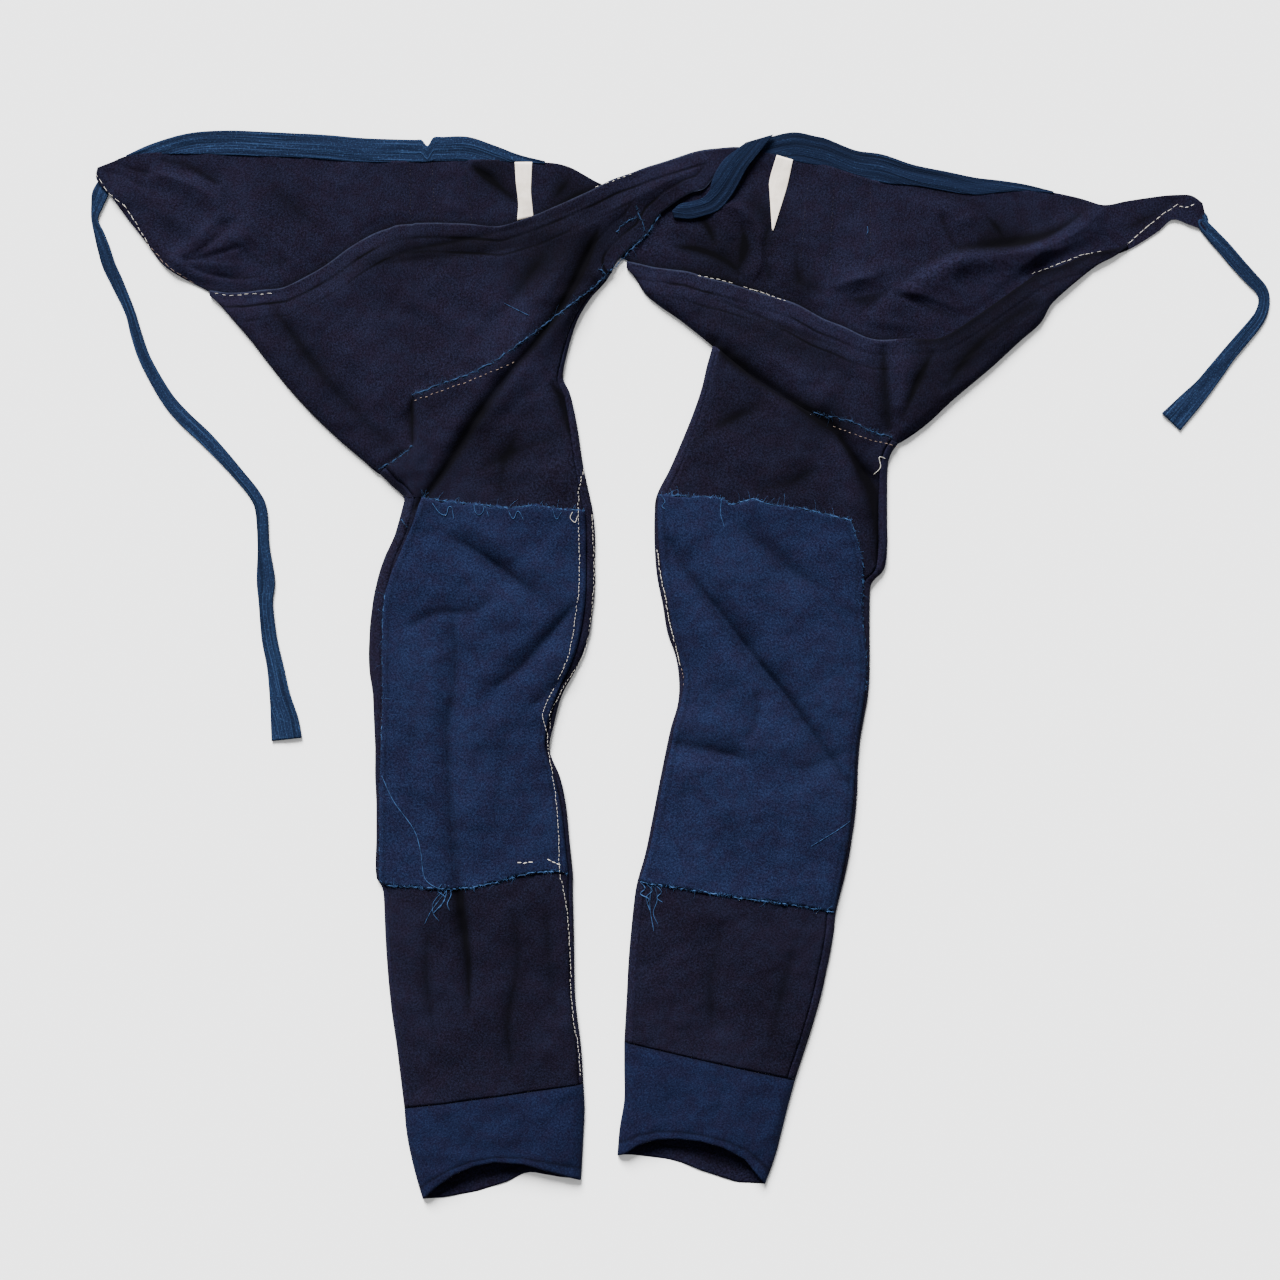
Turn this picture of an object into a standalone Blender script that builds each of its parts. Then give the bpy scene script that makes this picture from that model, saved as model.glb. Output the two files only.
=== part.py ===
"""Momohiki work pants laid flat and open, built from the pieces that a maker cuts.

Each half is a hip wrap folded over at its outer side, with a leg tube and a cuff below it.
Plan sizes are read from above: +X is the right of the laid garment, +Y its waist, and the
floor is z = 0. Tables are in millimetres, a row for each section across a piece.
"""

import bpy
import numpy as np

METRES_PER_MM = 0.001

# Driving dimensions, in millimetres.
CLOTH = 1.3
PATCH_CLOTH = 1.0
TAPE_CLOTH = 1.0
DOUBLED_CLOTH = 2.6
SEAM_GAP = 0.9
BAND_GAP = 0.4
LAYER_GAP = 0.4

# How the upper layer rises from a folded side: a rounded shoulder, then a slow dome.
SIDE_HEIGHT = 1.7
RIM_HEIGHT = 0.6
SHOULDER_HEIGHT = 7.5
SHOULDER_WIDTH = 9.0
SHOULDER_POWER = 2.2
LEG_DOME = 4.5
HIP_DOME = 2.5
DOME_WIDTH = 60.0
HIP_TO_LEG_Y = (150.0, 300.0)

# Where a free edge of the upper layer lies down, and how far it takes to rise again.
EDGE_REST_HEIGHT = 3.4
EDGE_REST_WIDTH = 28.0

# Samples up a hip section from its lower end, and past a leg's side, in millimetres.
HIP_SIDE_STEPS = (0.0, 0.35, 1.3, 3.5, 8.0, 17.0)
HIP_SECTION_POINTS = 11
LEG_SIDE_STEPS = (3.4, 1.4, 0.4)
LEG_SIDE_FOOT = ((0.5, 0.4), (2.0, 0.0))
LEG_FLOOR_SHARES = (0.25, 0.5, 0.75)
BACK_SECTION_POINTS = 9

# The back layer stays this far inside a folded side, clear of the wall that comes down there,
# and its lower ends within reach of the leg seam lie on that seam.
BACK_SIDE_CLEARANCE = 2.4
BACK_SLANT = 1.6
BACK_SEAT_REACH = 4.0

CUFF_TOP_POINTS = 5
TIE_PARTS = 2
BAND_END_POINTS = 3

# What the lower end of a hip section is: a folded side, the leg seam, or a free edge.
FOLD, SEAM, FREE = "fold", "seam", "free"

LEFT_LEG = (
    # left side x, y, right side x, y, seam in from left, from right
    (-258, 164, -58, 338, 7, 6),
    (-254.6, 160.8, -72, 321.5, 7, 6),
    (-251.1, 157.4, -83, 306, 7, 6),
    (-247.7, 153.9, -90.3, 290.7, 7, 6),
    (-244.2, 150.9, -97.2, 266.6, 8, 6),
    (-241.7, 148.8, -100.6, 246.8, 8, 6),
    (-239.9, 147.1, -94.6, 233.9, 8, 6),
    (-238.7, 145.8, -88.6, 207.3, 8, 7),
    (-237.8, 144.5, -83.4, 172.9, 9, 7),
    (-237.4, 143.2, -78.3, 148.8, 9, 8),
    (-237, 141, -75, 133, 10, 8),
    (-245, 112, -73, 112, 10, 8),
    (-254, 92, -73, 90, 10, 8),
    (-261, 69, -73, 68, 11, 8),
    (-265, 46, -75, 46, 12, 8),
    (-267, 22, -79, 22, 12, 8),
    (-267, -3, -89, -3, 11, 7),
    (-264, -25, -101, -25, 9, 5),
    (-263, -49, -108, -50, 6, 4),
    (-262, -71, -112, -73, 5, 4),
    (-262, -95, -103, -96, 5, 4),
    (-261, -119, -98, -119, 4, 4),
    (-261, -149, -95, -149, 4, 4),
    (-261, -181, -92, -179, 4, 4),
    (-255, -194, -92, -193, 5, 4),
    (-253, -236, -91, -235, 5, 4),
    (-249, -286, -90, -285, 5, 4),
    (-243, -331, -85, -327, 5, 4),
    (-237, -380, -83, -359, 5, 4),
)

LEFT_CUFF = (
    # left side x, y, right side x, y
    (-237, -380, -83, -359),
    (-235, -401, -82, -381),
    (-231, -422, -83, -404),
    (-226, -442, -84, -424),
    (-221, -459, -85, -442),
)

LEFT_HIP_FRONT = (
    # free edge x, y, lower end x, y, what the lower end is
    (-404, 322, -404, 317, FOLD),
    (-390, 320, -396, 310, FOLD),
    (-374, 320, -383, 295, FOLD),
    (-359, 322, -370, 280, FOLD),
    (-341, 324, -353, 258, FOLD),
    (-324, 332, -337, 238, FOLD),
    (-305, 343, -316, 215, FOLD),
    (-284, 358, -294, 194, FOLD),
    (-263, 370, -273, 176, FOLD),
    (-249, 375, -258, 164, FOLD),
    (-244, 377, -251.8, 169.6, SEAM),
    (-236, 378, -242, 178, SEAM),
    (-230, 378, -230, 187, SEAM),
    (-227, 379, -230, 209, SEAM),
    (-223, 379, -230, 230, SEAM),
    (-208, 379, -212, 237, SEAM),
    (-182, 378, -183, 248, SEAM),
    (-155, 376, -156, 261, SEAM),
    (-127, 385, -127, 282, SEAM),
    (-103, 395, -103, 301, SEAM),
    (-79, 406, -78, 320, SEAM),
    (-62, 415, -64, 334, SEAM),
    (-55, 418, -54, 346, FREE),
    (-43, 422, -42, 359, FREE),
    (-30, 427, -29, 369, FREE),
    (-15, 432, -20, 384, FREE),
    (0, 437, -7, 395, FREE),
    (17, 442, 9, 405, FREE),
    (33, 444, 21, 409, FREE),
    (44, 445, 33, 424, FREE),
    (52, 445, 49, 442, FREE),
)

LEFT_HIP_BACK = (
    # waist x, y, lower end x, y, waistband width
    (-500, 427, -501, 423, 0),
    (-488, 432, -501, 417, 0),
    (-476, 437, -495, 409, 1),
    (-454, 440, -488, 402, 8),
    (-423, 440, -475, 384, 17),
    (-391, 439, -460, 365, 20.5),
    (-359, 438, -441, 341, 20.5),
    (-329, 437, -407, 322, 20),
    (-320, 436.5, -399, 318, 20.2),
    (-301, 435, -380, 296, 20.5),
    (-273, 433, -357, 267, 20),
    (-248, 433, -324, 229, 19),
    (-224, 433, -292, 195, 18.5),
    (-206, 434, -256, 167, 20),
    (-182, 434, -229, 190, 20),
    (-159, 434, -194, 221, 12.5),
    (-138, 433, -159, 251, 5.5),
    (-116, 432, -125, 281, 1),
    (-95, 428, -90, 311, 0),
    (-66, 413, -58, 344, 0),
    (-47, 414, -54, 353, 0),
    (-34, 420, -41, 373, 0),
    (-20, 424, -24, 400, 0),
    (-8, 427, -9, 424, 0),
)

RIGHT_LEG = (
    # left side x, y, right side x, y, seam in from left, from right
    (28, 274, 187, 190, 5, 7),
    (23, 257, 182, 183, 5, 7),
    (18, 236, 179, 175, 5, 7),
    (10, 213, 178, 163, 6, 8),
    (1, 191, 178, 150, 7, 8),
    (-9, 168, 178, 135, 8, 8),
    (-20, 146, 178, 120, 8, 8),
    (-22, 130, 178, 102, 8, 8),
    (-22, 103, 175, 82, 8, 8),
    (-20, 77, 164, 69, 8, 8),
    (-15, 52, 163, 46, 8, 8),
    (-11, 28, 163, 22, 8, 8),
    (-4, 8, 163, 1, 8, 8),
    (-1, -13, 162, -21, 8, 8),
    (-2, -33, 159, -41, 8, 8),
    (-8, -54, 155, -63, 8, 8),
    (-13, -77, 153, -85, 8, 8),
    (-18, -102, 152, -113, 8, 8),
    (-24, -133, 148, -147, 8, 8),
    (-30, -162, 142, -180, 8, 8),
    (-37, -187, 134, -212, 8, 8),
    (-40, -207, 132, -230, 8, 8),
    (-44, -249, 126, -262, 8, 8),
    (-46, -286, 117, -299, 8, 8),
    (-48, -323, 99, -356, 8, 8),
)

RIGHT_CUFF = (
    # left side x, y, right side x, y
    (-48, -323, 99, -356),
    (-48, -348, 93, -378),
    (-48, -373, 87, -402),
    (-52, -398, 81, -424),
    (-54, -421, 73, -446),
)

RIGHT_HIP_FRONT = (
    # free edge x, y, lower end x, y, what the lower end is
    (-46, 347, -46, 341, FOLD),
    (-36, 345, -39, 333, FOLD),
    (-24, 342, -30, 319, FOLD),
    (-10, 340, -17, 308, FOLD),
    (7, 338, -1, 297, FOLD),
    (22, 333, 17, 283, FOLD),
    (33, 330, 28, 274, FOLD),
    (41, 328, 34, 270, SEAM),
    (60, 322, 51, 256, SEAM),
    (84, 315, 77, 236, SEAM),
    (101, 309, 93, 227, SEAM),
    (122, 297, 114, 215, SEAM),
    (140, 290, 131, 212, SEAM),
    (157, 282, 147, 208, SEAM),
    (169, 279, 158, 202, SEAM),
    (180, 279, 169, 199, SEAM),
    (192, 280, 181, 194, SEAM),
    (201, 280, 187, 190, FOLD),
    (224, 281, 211, 206, FOLD),
    (248, 295, 236, 229, FOLD),
    (271, 311, 267, 255, FOLD),
    (292, 326, 292, 278, FOLD),
    (310, 338, 310, 294, FOLD),
    (327, 343, 321, 312, FOLD),
    (351, 353, 355, 341, FOLD),
    (372, 357, 373, 351, FOLD),
)

RIGHT_HIP_BACK = (
    # waist x, y, lower end x, y, waistband width
    (-6.2, 427.1, -7.1, 423.6, 0),
    (9, 429, -23.6, 399.6, 0),
    (26, 434, -40.8, 372.9, 0),
    (43, 438, -53.7, 353.1, 0),
    (56, 439, -42, 345, 0),
    (74, 440, -28, 323, 13),
    (97, 434, 2, 299, 21),
    (117, 430.5, 27.6, 279, 22.5),
    (127, 429, 36, 270.5, 23),
    (151, 421, 69, 253, 21.5),
    (174, 415, 108, 232, 24),
    (201, 413, 146, 212, 17),
    (230, 408, 183, 193, 16),
    (254, 405, 208, 208, 14),
    (275, 407, 234, 231, 9.5),
    (297, 408, 264, 259, 5),
    (321, 406, 298, 289, 1),
    (344, 401, 317, 315, 0),
    (363, 395, 353, 344, 0),
    (385, 399, 385, 359, 0),
    (413, 403, 410, 373, 0),
    (430, 404, 422, 384, 0),
    (440, 403, 439, 386, 0),
    (452, 393, 453, 384, 0),
)

WAISTBAND_END = (
    # left x, y, right x, y, height of the underside
    (53, 446, 83, 456, 4.6),
    (48, 442, 74, 447, 4.6),
    (37, 433, 66, 437, 4.6),
    (30, 422, 58, 427, 4.6),
    (27, 414, 52, 416, 4.4),
    (25, 407, 44, 402, 3.6),
    (19, 401, 34, 391, 2.6),
    (9, 398, 22, 386, 2.0),
    (0, 396, 9, 383, 1.8),
    (-7, 390, -5, 384, 1.8),
)

LEFT_TIE = (
    # x, y, width
    (-498, 406, 14),
    (-501, 395, 10.5),
    (-503, 383, 6),
    (-499, 370, 9),
    (-495, 357, 11),
    (-491, 344, 11.5),
    (-484, 329, 11),
    (-473, 304, 9),
    (-467, 283, 10),
    (-459, 261, 10.5),
    (-442, 231, 11.5),
    (-427, 213, 12.5),
    (-408, 195, 12.5),
    (-391, 177, 11),
    (-378, 162, 10),
    (-366, 147, 10),
    (-360, 133, 10.5),
    (-358, 103, 10.5),
    (-356, 73, 16),
    (-356, 53, 12.5),
    (-353, 23, 13.5),
    (-348, -1, 14.5),
    (-344, -26, 18),
    (-340, -47, 24),
    (-338, -64, 26.5),
)

RIGHT_TIE = (
    # x, y, width
    (449.7, 383.2, 9),
    (449.4, 379, 9.5),
    (457, 370, 11),
    (468, 358, 12),
    (480, 344, 12),
    (491, 332, 11.5),
    (500, 322, 10.5),
    (502, 312, 10),
    (499, 301, 11),
    (493, 292, 12),
    (482, 279, 12.5),
    (471, 266, 13),
    (461, 253, 14.5),
    (450, 239, 16),
    (438, 226, 19),
    (422, 209, 22),
)

LEFT_TAB = (
    # left x, y, right x, y
    (-142, 432, -127, 432),
    (-141, 415, -128, 408),
    (-139, 396, -127, 396),
    (-140, 382, -126, 385),
)

RIGHT_TAB = (
    # left x, y, right x, y
    (83, 438, 97, 434),
    (77, 417, 93, 415),
    (77, 405, 89, 401),
    (79, 374, 80, 373),
)

LEFT_FOLDS = (
    # from x, y, to x, y, height, width on the left of that run, on the right
    (-79, 326, -224, 142, 4.0, 11, 32),
    (-224, 230, -224, 168, 2.0, 14, 6),
    (-191, 56, -197, -86, -1.8, 12, 12),
    (-197, -86, -184, -228, -1.4, 11, 11),
    (-182, 103, -125, 56, -2.4, 12, 12),
    (-107, 22, -163, -30, -2.2, 12, 12),
    (-116, -71, -168, -116, 1.6, 14, 14),
)

RIGHT_FOLDS = (
    # from x, y, to x, y, height, width on the left of that run, on the right
    (28, 280, 116, 221, 2.6, 24, 9),
    (131, 204, 162, 154, -3.0, 9, 9),
    (162, 154, 172, 90, -2.6, 9, 9),
    (176, 275, 177, 197, -1.6, 9, 9),
    (-5, 99, 56, 17, -2.6, 13, 13),
    (56, 17, 114, -69, -2.0, 13, 13),
    (47, 125, 95, 77, -2.0, 14, 14),
    (-7, -69, 47, -79, -2.2, 12, 12),
    (9, -47, 146, -89, 1.6, 16, 16),
)

LEFT_BACK_FOLDS = (
    # from x, y, to x, y, height, width on the left of that run, on the right
    (-477, 408, -394, 359, 3.0, 12, 14),
    (-430, 348, -378, 369, 2.4, 11, 11),
)

RIGHT_BACK_FOLDS = (
    # from x, y, to x, y, height, width on the left of that run, on the right
    (187, 314, 239, 346, 3.6, 14, 13),
    (239, 346, 306, 357, 4.4, 14, 12),
    (306, 357, 358, 388, 3.6, 13, 12),
    (134, 331, 176, 338, 1.5, 10, 10),
)

# Where the waist opening of each half gapes: x, y, half width, height.
LEFT_MOUTH = (-174, 378, 95, 5.5)
RIGHT_MOUTH = (133, 292, 80, 5.5)

# The left front runs on as a strip over the middle, and lies lower from here to here in x.
STRIP_FROM_X, STRIP_TO_X = -103.0, -50.0
STRIP_RISE_SHARE = 0.25

# The patches cover these leg rows, and leave these columns free at their first rows.
LEFT_PATCH_ROWS = (10, 23)
LEFT_PATCH_STARTS = (2, 1, 1)
RIGHT_PATCH_ROWS = (6, 20)
RIGHT_PATCH_ENDS = (7, 8, 8)

# Folds of the back begin between these distances beyond the front's free edge.
BACK_FOLD_FADE = (3.0, 16.0)

# The leg front's first rows follow the hip seam, less and less, over this many rows.
LEG_JOIN_ROWS = 5.0

# How far the hem's middle lies above its corners, at the front and at the back of a cuff.
HEM_ARCH_FRONT = 26.0
HEM_ARCH_BACK = 4.0

DARK_INDIGO = (0.012, 0.012, 0.024)
PATCH_INDIGO = (0.014, 0.026, 0.095)
CUFF_INDIGO = (0.012, 0.030, 0.100)
BAND_BLUE = (0.012, 0.040, 0.115)
TAPE_CREAM = (0.680, 0.620, 0.550)


def smooth_step(value, low, high):
    """0 below low, 1 above high, and an S-shaped rise between them."""
    share = np.clip((value - low) / (high - low), 0.0, 1.0)
    return share * share * (3.0 - 2.0 * share)


def distance_to_line(line, x, y):
    """Shortest plan distance from each point to a line of joined straight stretches."""
    start, run = line[:-1], np.diff(line, axis=0)
    from_x = x[..., None] - start[:, 0]
    from_y = y[..., None] - start[:, 1]
    share = (from_x * run[:, 0] + from_y * run[:, 1]) / (run**2).sum(axis=1)
    share = np.clip(share, 0.0, 1.0)
    return np.hypot(from_x - share * run[:, 0], from_y - share * run[:, 1]).min(axis=-1)


def fold_relief(folds, x, y):
    """Height that ridges (above 0) and troughs (below 0) add, each a bell across its run."""
    total = np.zeros_like(x)
    for x0, y0, x1, y1, height, left_width, right_width in folds:
        length = np.hypot(x1 - x0, y1 - y0)
        along_x, along_y = (x1 - x0) / length, (y1 - y0) / length
        along = (x - x0) * along_x + (y - y0) * along_y
        across = along_x * (y - y0) - along_y * (x - x0)
        width = np.where(across > 0.0, left_width, right_width)
        past_end = np.maximum(0.0, np.maximum(-along, along - length))
        total += height * np.exp(-((across / width) ** 2) - (past_end / right_width) ** 2)
    return total


def as_half(leg, cuff, hip_front, hip_back, folds, back_folds, mouth, mirror):
    """The tables of one half as arrays, with its folded sides and its free edge as lines."""
    leg, cuff = np.array(leg, float), np.array(cuff, float)
    edge = np.array([row[:2] for row in hip_front], float)
    lower = np.array([row[2:4] for row in hip_front], float)
    kinds = np.array([row[4] for row in hip_front])
    seam = np.flatnonzero(kinds == SEAM)
    before = lower[: seam[0]]
    after = lower[seam[-1] + 1 :]
    left_leg_side = np.concatenate([leg[1:, :2], cuff[1:, :2]])
    right_leg_side = np.concatenate([leg[1:, 2:4], cuff[1:, 2:4]])
    if mirror:
        sides = [
            np.concatenate([before, left_leg_side]),
            np.concatenate([after[::-1], right_leg_side]),
        ]
        free_edge = edge
    else:
        sides = [
            np.concatenate([before, left_leg_side]),
            np.concatenate([leg[:1, 2:4], right_leg_side]),
        ]
        free_edge = np.concatenate([edge, after[::-1]])
    return {
        "leg": leg,
        "cuff": cuff,
        "edge": edge,
        "lower": lower,
        "kinds": kinds,
        "seam": lower[seam],
        "hip_back": np.array(hip_back, float),
        "folds": folds,
        "back_folds": back_folds,
        "mouth": mouth,
        "sides": sides,
        "free_edge": free_edge,
        "strip": not mirror,
    }


def top_height(half, x, y):
    """Upper face of the upper layer: shoulder at the sides, dome, folds, low at free edges."""
    side = np.minimum(*[distance_to_line(line, x, y) for line in half["sides"]])
    turn = 1.0 - np.clip(side / SHOULDER_WIDTH, 0.0, 1.0)
    rise = (1.0 - turn**SHOULDER_POWER) ** (1.0 / SHOULDER_POWER)
    leg_share = 1.0 - smooth_step(y, *HIP_TO_LEG_Y)
    dome = HIP_DOME + (LEG_DOME - HIP_DOME) * leg_share
    dome = dome * (1.0 - (1.0 - np.clip(side / DOME_WIDTH, 0.0, 1.0)) ** 2)
    soft = dome + fold_relief(half["folds"], x, y)
    full = SIDE_HEIGHT + (SHOULDER_HEIGHT - SIDE_HEIGHT) * rise
    full = full + soft * smooth_step(side, 0.0, SHOULDER_WIDTH)
    if half["strip"]:
        kept = 1.0 - (1.0 - STRIP_RISE_SHARE) * smooth_step(x, STRIP_FROM_X, STRIP_TO_X)
        kept = np.where(y > HIP_TO_LEG_Y[1], kept, 1.0)
        full = EDGE_REST_HEIGHT + (full - EDGE_REST_HEIGHT) * kept
    mouth_x, mouth_y, mouth_width, gape = half["mouth"]
    away = np.hypot(x - mouth_x, y - mouth_y) / mouth_width
    rest = EDGE_REST_HEIGHT + gape * np.exp(-(away**2))
    lies = 1.0 - smooth_step(distance_to_line(half["free_edge"], x, y), 0.0, EDGE_REST_WIDTH)
    return full + lies * (np.minimum(rest, full) - full)


def back_height(half, x, y):
    """Upper face of the back layer: flat under the front, with folds where it shows."""
    shows = y - np.interp(x, half["edge"][:, 0], half["edge"][:, 1])
    return CLOTH + fold_relief(half["back_folds"], x, y) * smooth_step(shows, *BACK_FOLD_FADE)


def across(start, end):
    """Unit plan vectors from each start to each end, and the lengths between them."""
    run = end - start
    length = np.hypot(run[..., 0], run[..., 1])
    return run / length[..., None], length


def with_height(plan, height):
    return np.concatenate([plan, height[..., None]], axis=-1)


def hip_front_points(half):
    """Sections from the lower end up to the free edge, close together at the folded side."""
    lower, edge = half["lower"], half["edge"]
    _, length = across(lower, edge)
    steps = np.array(HIP_SIDE_STEPS)
    steps = steps * np.minimum(1.0, 0.5 * length / steps[-1])[:, None] / length[:, None]
    rest = np.linspace(0.0, 1.0, HIP_SECTION_POINTS - len(HIP_SIDE_STEPS) + 1)[1:]
    last = steps[:, -1:]
    share = np.concatenate([steps, last + (1.0 - last) * rest], axis=1)
    plan = lower[:, None] + (edge - lower)[:, None] * share[..., None]
    height = top_height(half, plan[..., 0], plan[..., 1])
    height[half["kinds"] == FOLD, 0] = RIM_HEIGHT
    return with_height(plan, height)


def seated_on_seam(points, start, end):
    """Points near the line from start to end, moved onto it; the others as they are."""
    along, length = across(start, end)
    share = (points - start) @ along
    on_line = start + along * share[:, None]
    off = np.hypot(*(points - on_line).T)
    near = (off < BACK_SEAT_REACH) & (share > 0.0) & (share < length)
    return np.where(near[:, None], on_line, points)


def inside_folds(half, lower, waist):
    """Lower ends moved along their sections, clear of the wall at a folded side."""
    toward, _ = across(lower, waist)
    side = np.minimum(*[distance_to_line(line, *lower.T) for line in half["sides"]])
    need = np.maximum(0.0, BACK_SIDE_CLEARANCE - side)
    return lower + toward * (need * BACK_SLANT)[:, None]


def hip_back_points(half):
    """Sections from the lower end up to the waist line, on the floor."""
    rows = half["hip_back"]
    lower = inside_folds(half, rows[:, 2:4], rows[:, :2])
    lower = seated_on_seam(lower, half["leg"][0, :2], half["leg"][0, 2:4])
    share = np.linspace(0.0, 1.0, BACK_SECTION_POINTS)
    plan = lower[:, None] + (rows[:, :2] - lower)[:, None] * share[:, None]
    return with_height(plan, back_height(half, plan[..., 0], plan[..., 1]))


def waistband_points(half):
    """The band beyond the waist line, as wide as its column says, seam gap left open."""
    rows = half["hip_back"][half["hip_back"][:, 4] > 0.0]
    near = rows[:, :2] + (0.0, BAND_GAP)
    far = near + rows[:, 4:5] * (0.0, 1.0)
    plan = np.stack([near, far], axis=1)
    return with_height(plan, np.full(plan.shape[:2], DOUBLED_CLOTH))


def beyond_seam(seam):
    """Unit vectors at right angles to a line that runs to the right, on the hem's side."""
    along = np.gradient(seam, axis=0)
    along /= np.linalg.norm(along, axis=1, keepdims=True)
    return np.stack([along[:, 1], -along[:, 0]], axis=1)


def toward_hem(half):
    """Unit vector at right angles to the leg's first row, pointing down the leg."""
    along, _ = across(half["leg"][0, :2], half["leg"][0, 2:4])
    return np.array([along[1], -along[0]])


def leg_front_points(half):
    """Upper wall between the leg's seams; its first row follows the shaped hip seam."""
    leg, seam = half["leg"], half["seam"]
    along, width = across(leg[:, :2], leg[:, 2:4])
    steps = np.hypot(*np.diff(seam, axis=0).T)
    share = np.concatenate([[0.0], np.cumsum(steps)]) / steps.sum()
    start = leg[:, 4] + SEAM_GAP
    end = width - leg[:, 5] - SEAM_GAP
    reach = start[:, None] + (end - start)[:, None] * share
    plan = leg[:, None, :2] + along[:, None] * reach[..., None]
    offset = seam + beyond_seam(seam) * SEAM_GAP - plan[0]
    weight = np.clip(1.0 - np.arange(len(leg)) / LEG_JOIN_ROWS, 0.0, 1.0)
    plan = plan + weight[:, None, None] * offset
    return with_height(plan, top_height(half, plan[..., 0], plan[..., 1]))


def ring_plan(left, right, reach):
    """Plan points on each row, at the given distances from its left side."""
    along, _ = across(left, right)
    return left[:, None] + along[:, None] * reach[..., None]


def side_reach(first):
    """Distances from a side along the upper face, from the seam out to the side itself."""
    steps = np.broadcast_to(LEG_SIDE_STEPS, (len(first), len(LEG_SIDE_STEPS)))
    return np.concatenate([first[:, None], steps, np.zeros((len(first), 1))], axis=1)


def floor_reach(width):
    """Distances and heights of a section's underside, from the left side to the right."""
    foot = np.array(LEG_SIDE_FOOT)
    rows = len(width)
    left = np.broadcast_to(foot[:, 0], (rows, len(foot)))
    middle = width[:, None] * LEG_FLOOR_SHARES
    right = width[:, None] - left[:, ::-1]
    height = np.concatenate([foot[:, 1], np.zeros(len(LEG_FLOOR_SHARES)), foot[::-1, 1]])
    reach = np.concatenate([left, middle, right], axis=1)
    return reach, np.broadcast_to(height, reach.shape)


def leg_back_points(half):
    """Lower wall: down from the left seam, over the floor, and up to the right seam."""
    leg = half["leg"].copy()
    leg[0, :2] += toward_hem(half) * SEAM_GAP
    leg[0, 2:4] += toward_hem(half) * SEAM_GAP
    _, width = across(leg[:, :2], leg[:, 2:4])
    left = side_reach(leg[:, 4])
    right = width[:, None] - side_reach(leg[:, 5])[:, ::-1]
    floor, floor_height = floor_reach(width)
    reach = np.concatenate([left, floor, right], axis=1)
    plan = ring_plan(leg[:, :2], leg[:, 2:4], reach)
    height = top_height(half, plan[..., 0], plan[..., 1])
    first = left.shape[1]
    height[:, first : first + floor.shape[1]] = floor_height
    return with_height(plan, height)


def cuff_points(half):
    """A closed tube: upper face from left to right, then back along the floor."""
    rows = half["cuff"].copy()
    along, width = across(rows[:, :2], rows[:, 2:4])
    down = np.stack([along[:, 1], -along[:, 0]], axis=1)
    rows[0, :2] += down[0] * SEAM_GAP
    rows[0, 2:4] += down[0] * SEAM_GAP
    near = np.array((0.0,) + LEG_SIDE_STEPS[::-1] + (SHOULDER_WIDTH,))
    middle = np.linspace(0.0, 1.0, CUFF_TOP_POINTS + 2)[1:-1]
    middle = near[-1] + (width[:, None] - 2.0 * near[-1]) * middle
    near = np.broadcast_to(near, (len(rows), len(near)))
    top = np.concatenate([near, middle, width[:, None] - near[:, ::-1]], axis=1)
    floor, floor_height = floor_reach(width)
    reach = np.concatenate([top, floor[:, ::-1]], axis=1)
    plan = ring_plan(rows[:, :2], rows[:, 2:4], reach)
    height = top_height(half, plan[..., 0], plan[..., 1])
    height[:, top.shape[1] :] = floor_height[:, ::-1]
    share = reach / width[:, None]
    arch = np.full(share.shape, HEM_ARCH_BACK)
    arch[:, : top.shape[1]] = HEM_ARCH_FRONT
    toward_end = np.linspace(0.0, 1.0, len(rows))[:, None] ** 2
    lift = 4.0 * share * (1.0 - share) * arch * toward_end
    return with_height(plan - down[:, None] * lift[..., None], height)


def raised(points, distance):
    """Grid points moved out along the surface's own normals."""
    along_rows = np.gradient(points, axis=0)
    along_columns = np.gradient(points, axis=1)
    normal = np.cross(along_rows, along_columns)
    normal /= np.linalg.norm(normal, axis=-1, keepdims=True)
    return points + normal * distance


def patch_points(half, rows, starts=(), ends=()):
    """The leg front's own points, moved out; free columns fold onto the next one kept."""
    points = raised(leg_front_points(half), LAYER_GAP + PATCH_CLOTH)
    points = points[rows[0] : rows[1] + 1]
    for row, first in enumerate(starts):
        points[row, :first] = points[row, first]
    for row, last in enumerate(ends):
        points[row, last + 1 :] = points[row, last]
    return points


def smooth_rows(rows, parts):
    """Rows with parts - 1 more between each pair, on a smooth curve through them all."""
    rows = np.array(rows, float)
    ends = np.concatenate([2 * rows[:1] - rows[1:2], rows, 2 * rows[-1:] - rows[-2:-1]])
    before, start, end, after = ends[:-3], ends[1:-2], ends[2:-1], ends[3:]
    t = (np.arange(parts) / parts)[None, :, None]
    before, start, end, after = (a[:, None] for a in (before, start, end, after))
    curve = 0.5 * (
        2.0 * start
        + (end - before) * t
        + (2.0 * before - 5.0 * start + 4.0 * end - after) * t**2
        + (3.0 * start - before - 3.0 * end + after) * t**3
    )
    return np.concatenate([curve.reshape(-1, rows.shape[1]), rows[-1:]])


def tie_points(rows):
    """A flat doubled tape on the floor, along its centre line."""
    rows = smooth_rows(rows, TIE_PARTS)
    centre, width = rows[:, :2], rows[:, 2]
    run = np.gradient(centre, axis=0)
    run /= np.linalg.norm(run, axis=1, keepdims=True)
    to_left = np.stack([-run[:, 1], run[:, 0]], axis=1) * width[:, None] / 2.0
    plan = np.stack([centre - to_left, centre + to_left], axis=1)
    return with_height(plan, np.full(plan.shape[:2], DOUBLED_CLOTH))


def tab_points(half, rows):
    """A tape just above the hip back."""
    rows = np.array(rows, float)
    plan = np.stack([rows[:, :2], rows[:, 2:]], axis=1)
    height = back_height(half, plan[..., 0], plan[..., 1]) + LAYER_GAP + TAPE_CLOTH
    return with_height(plan, height)


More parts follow.
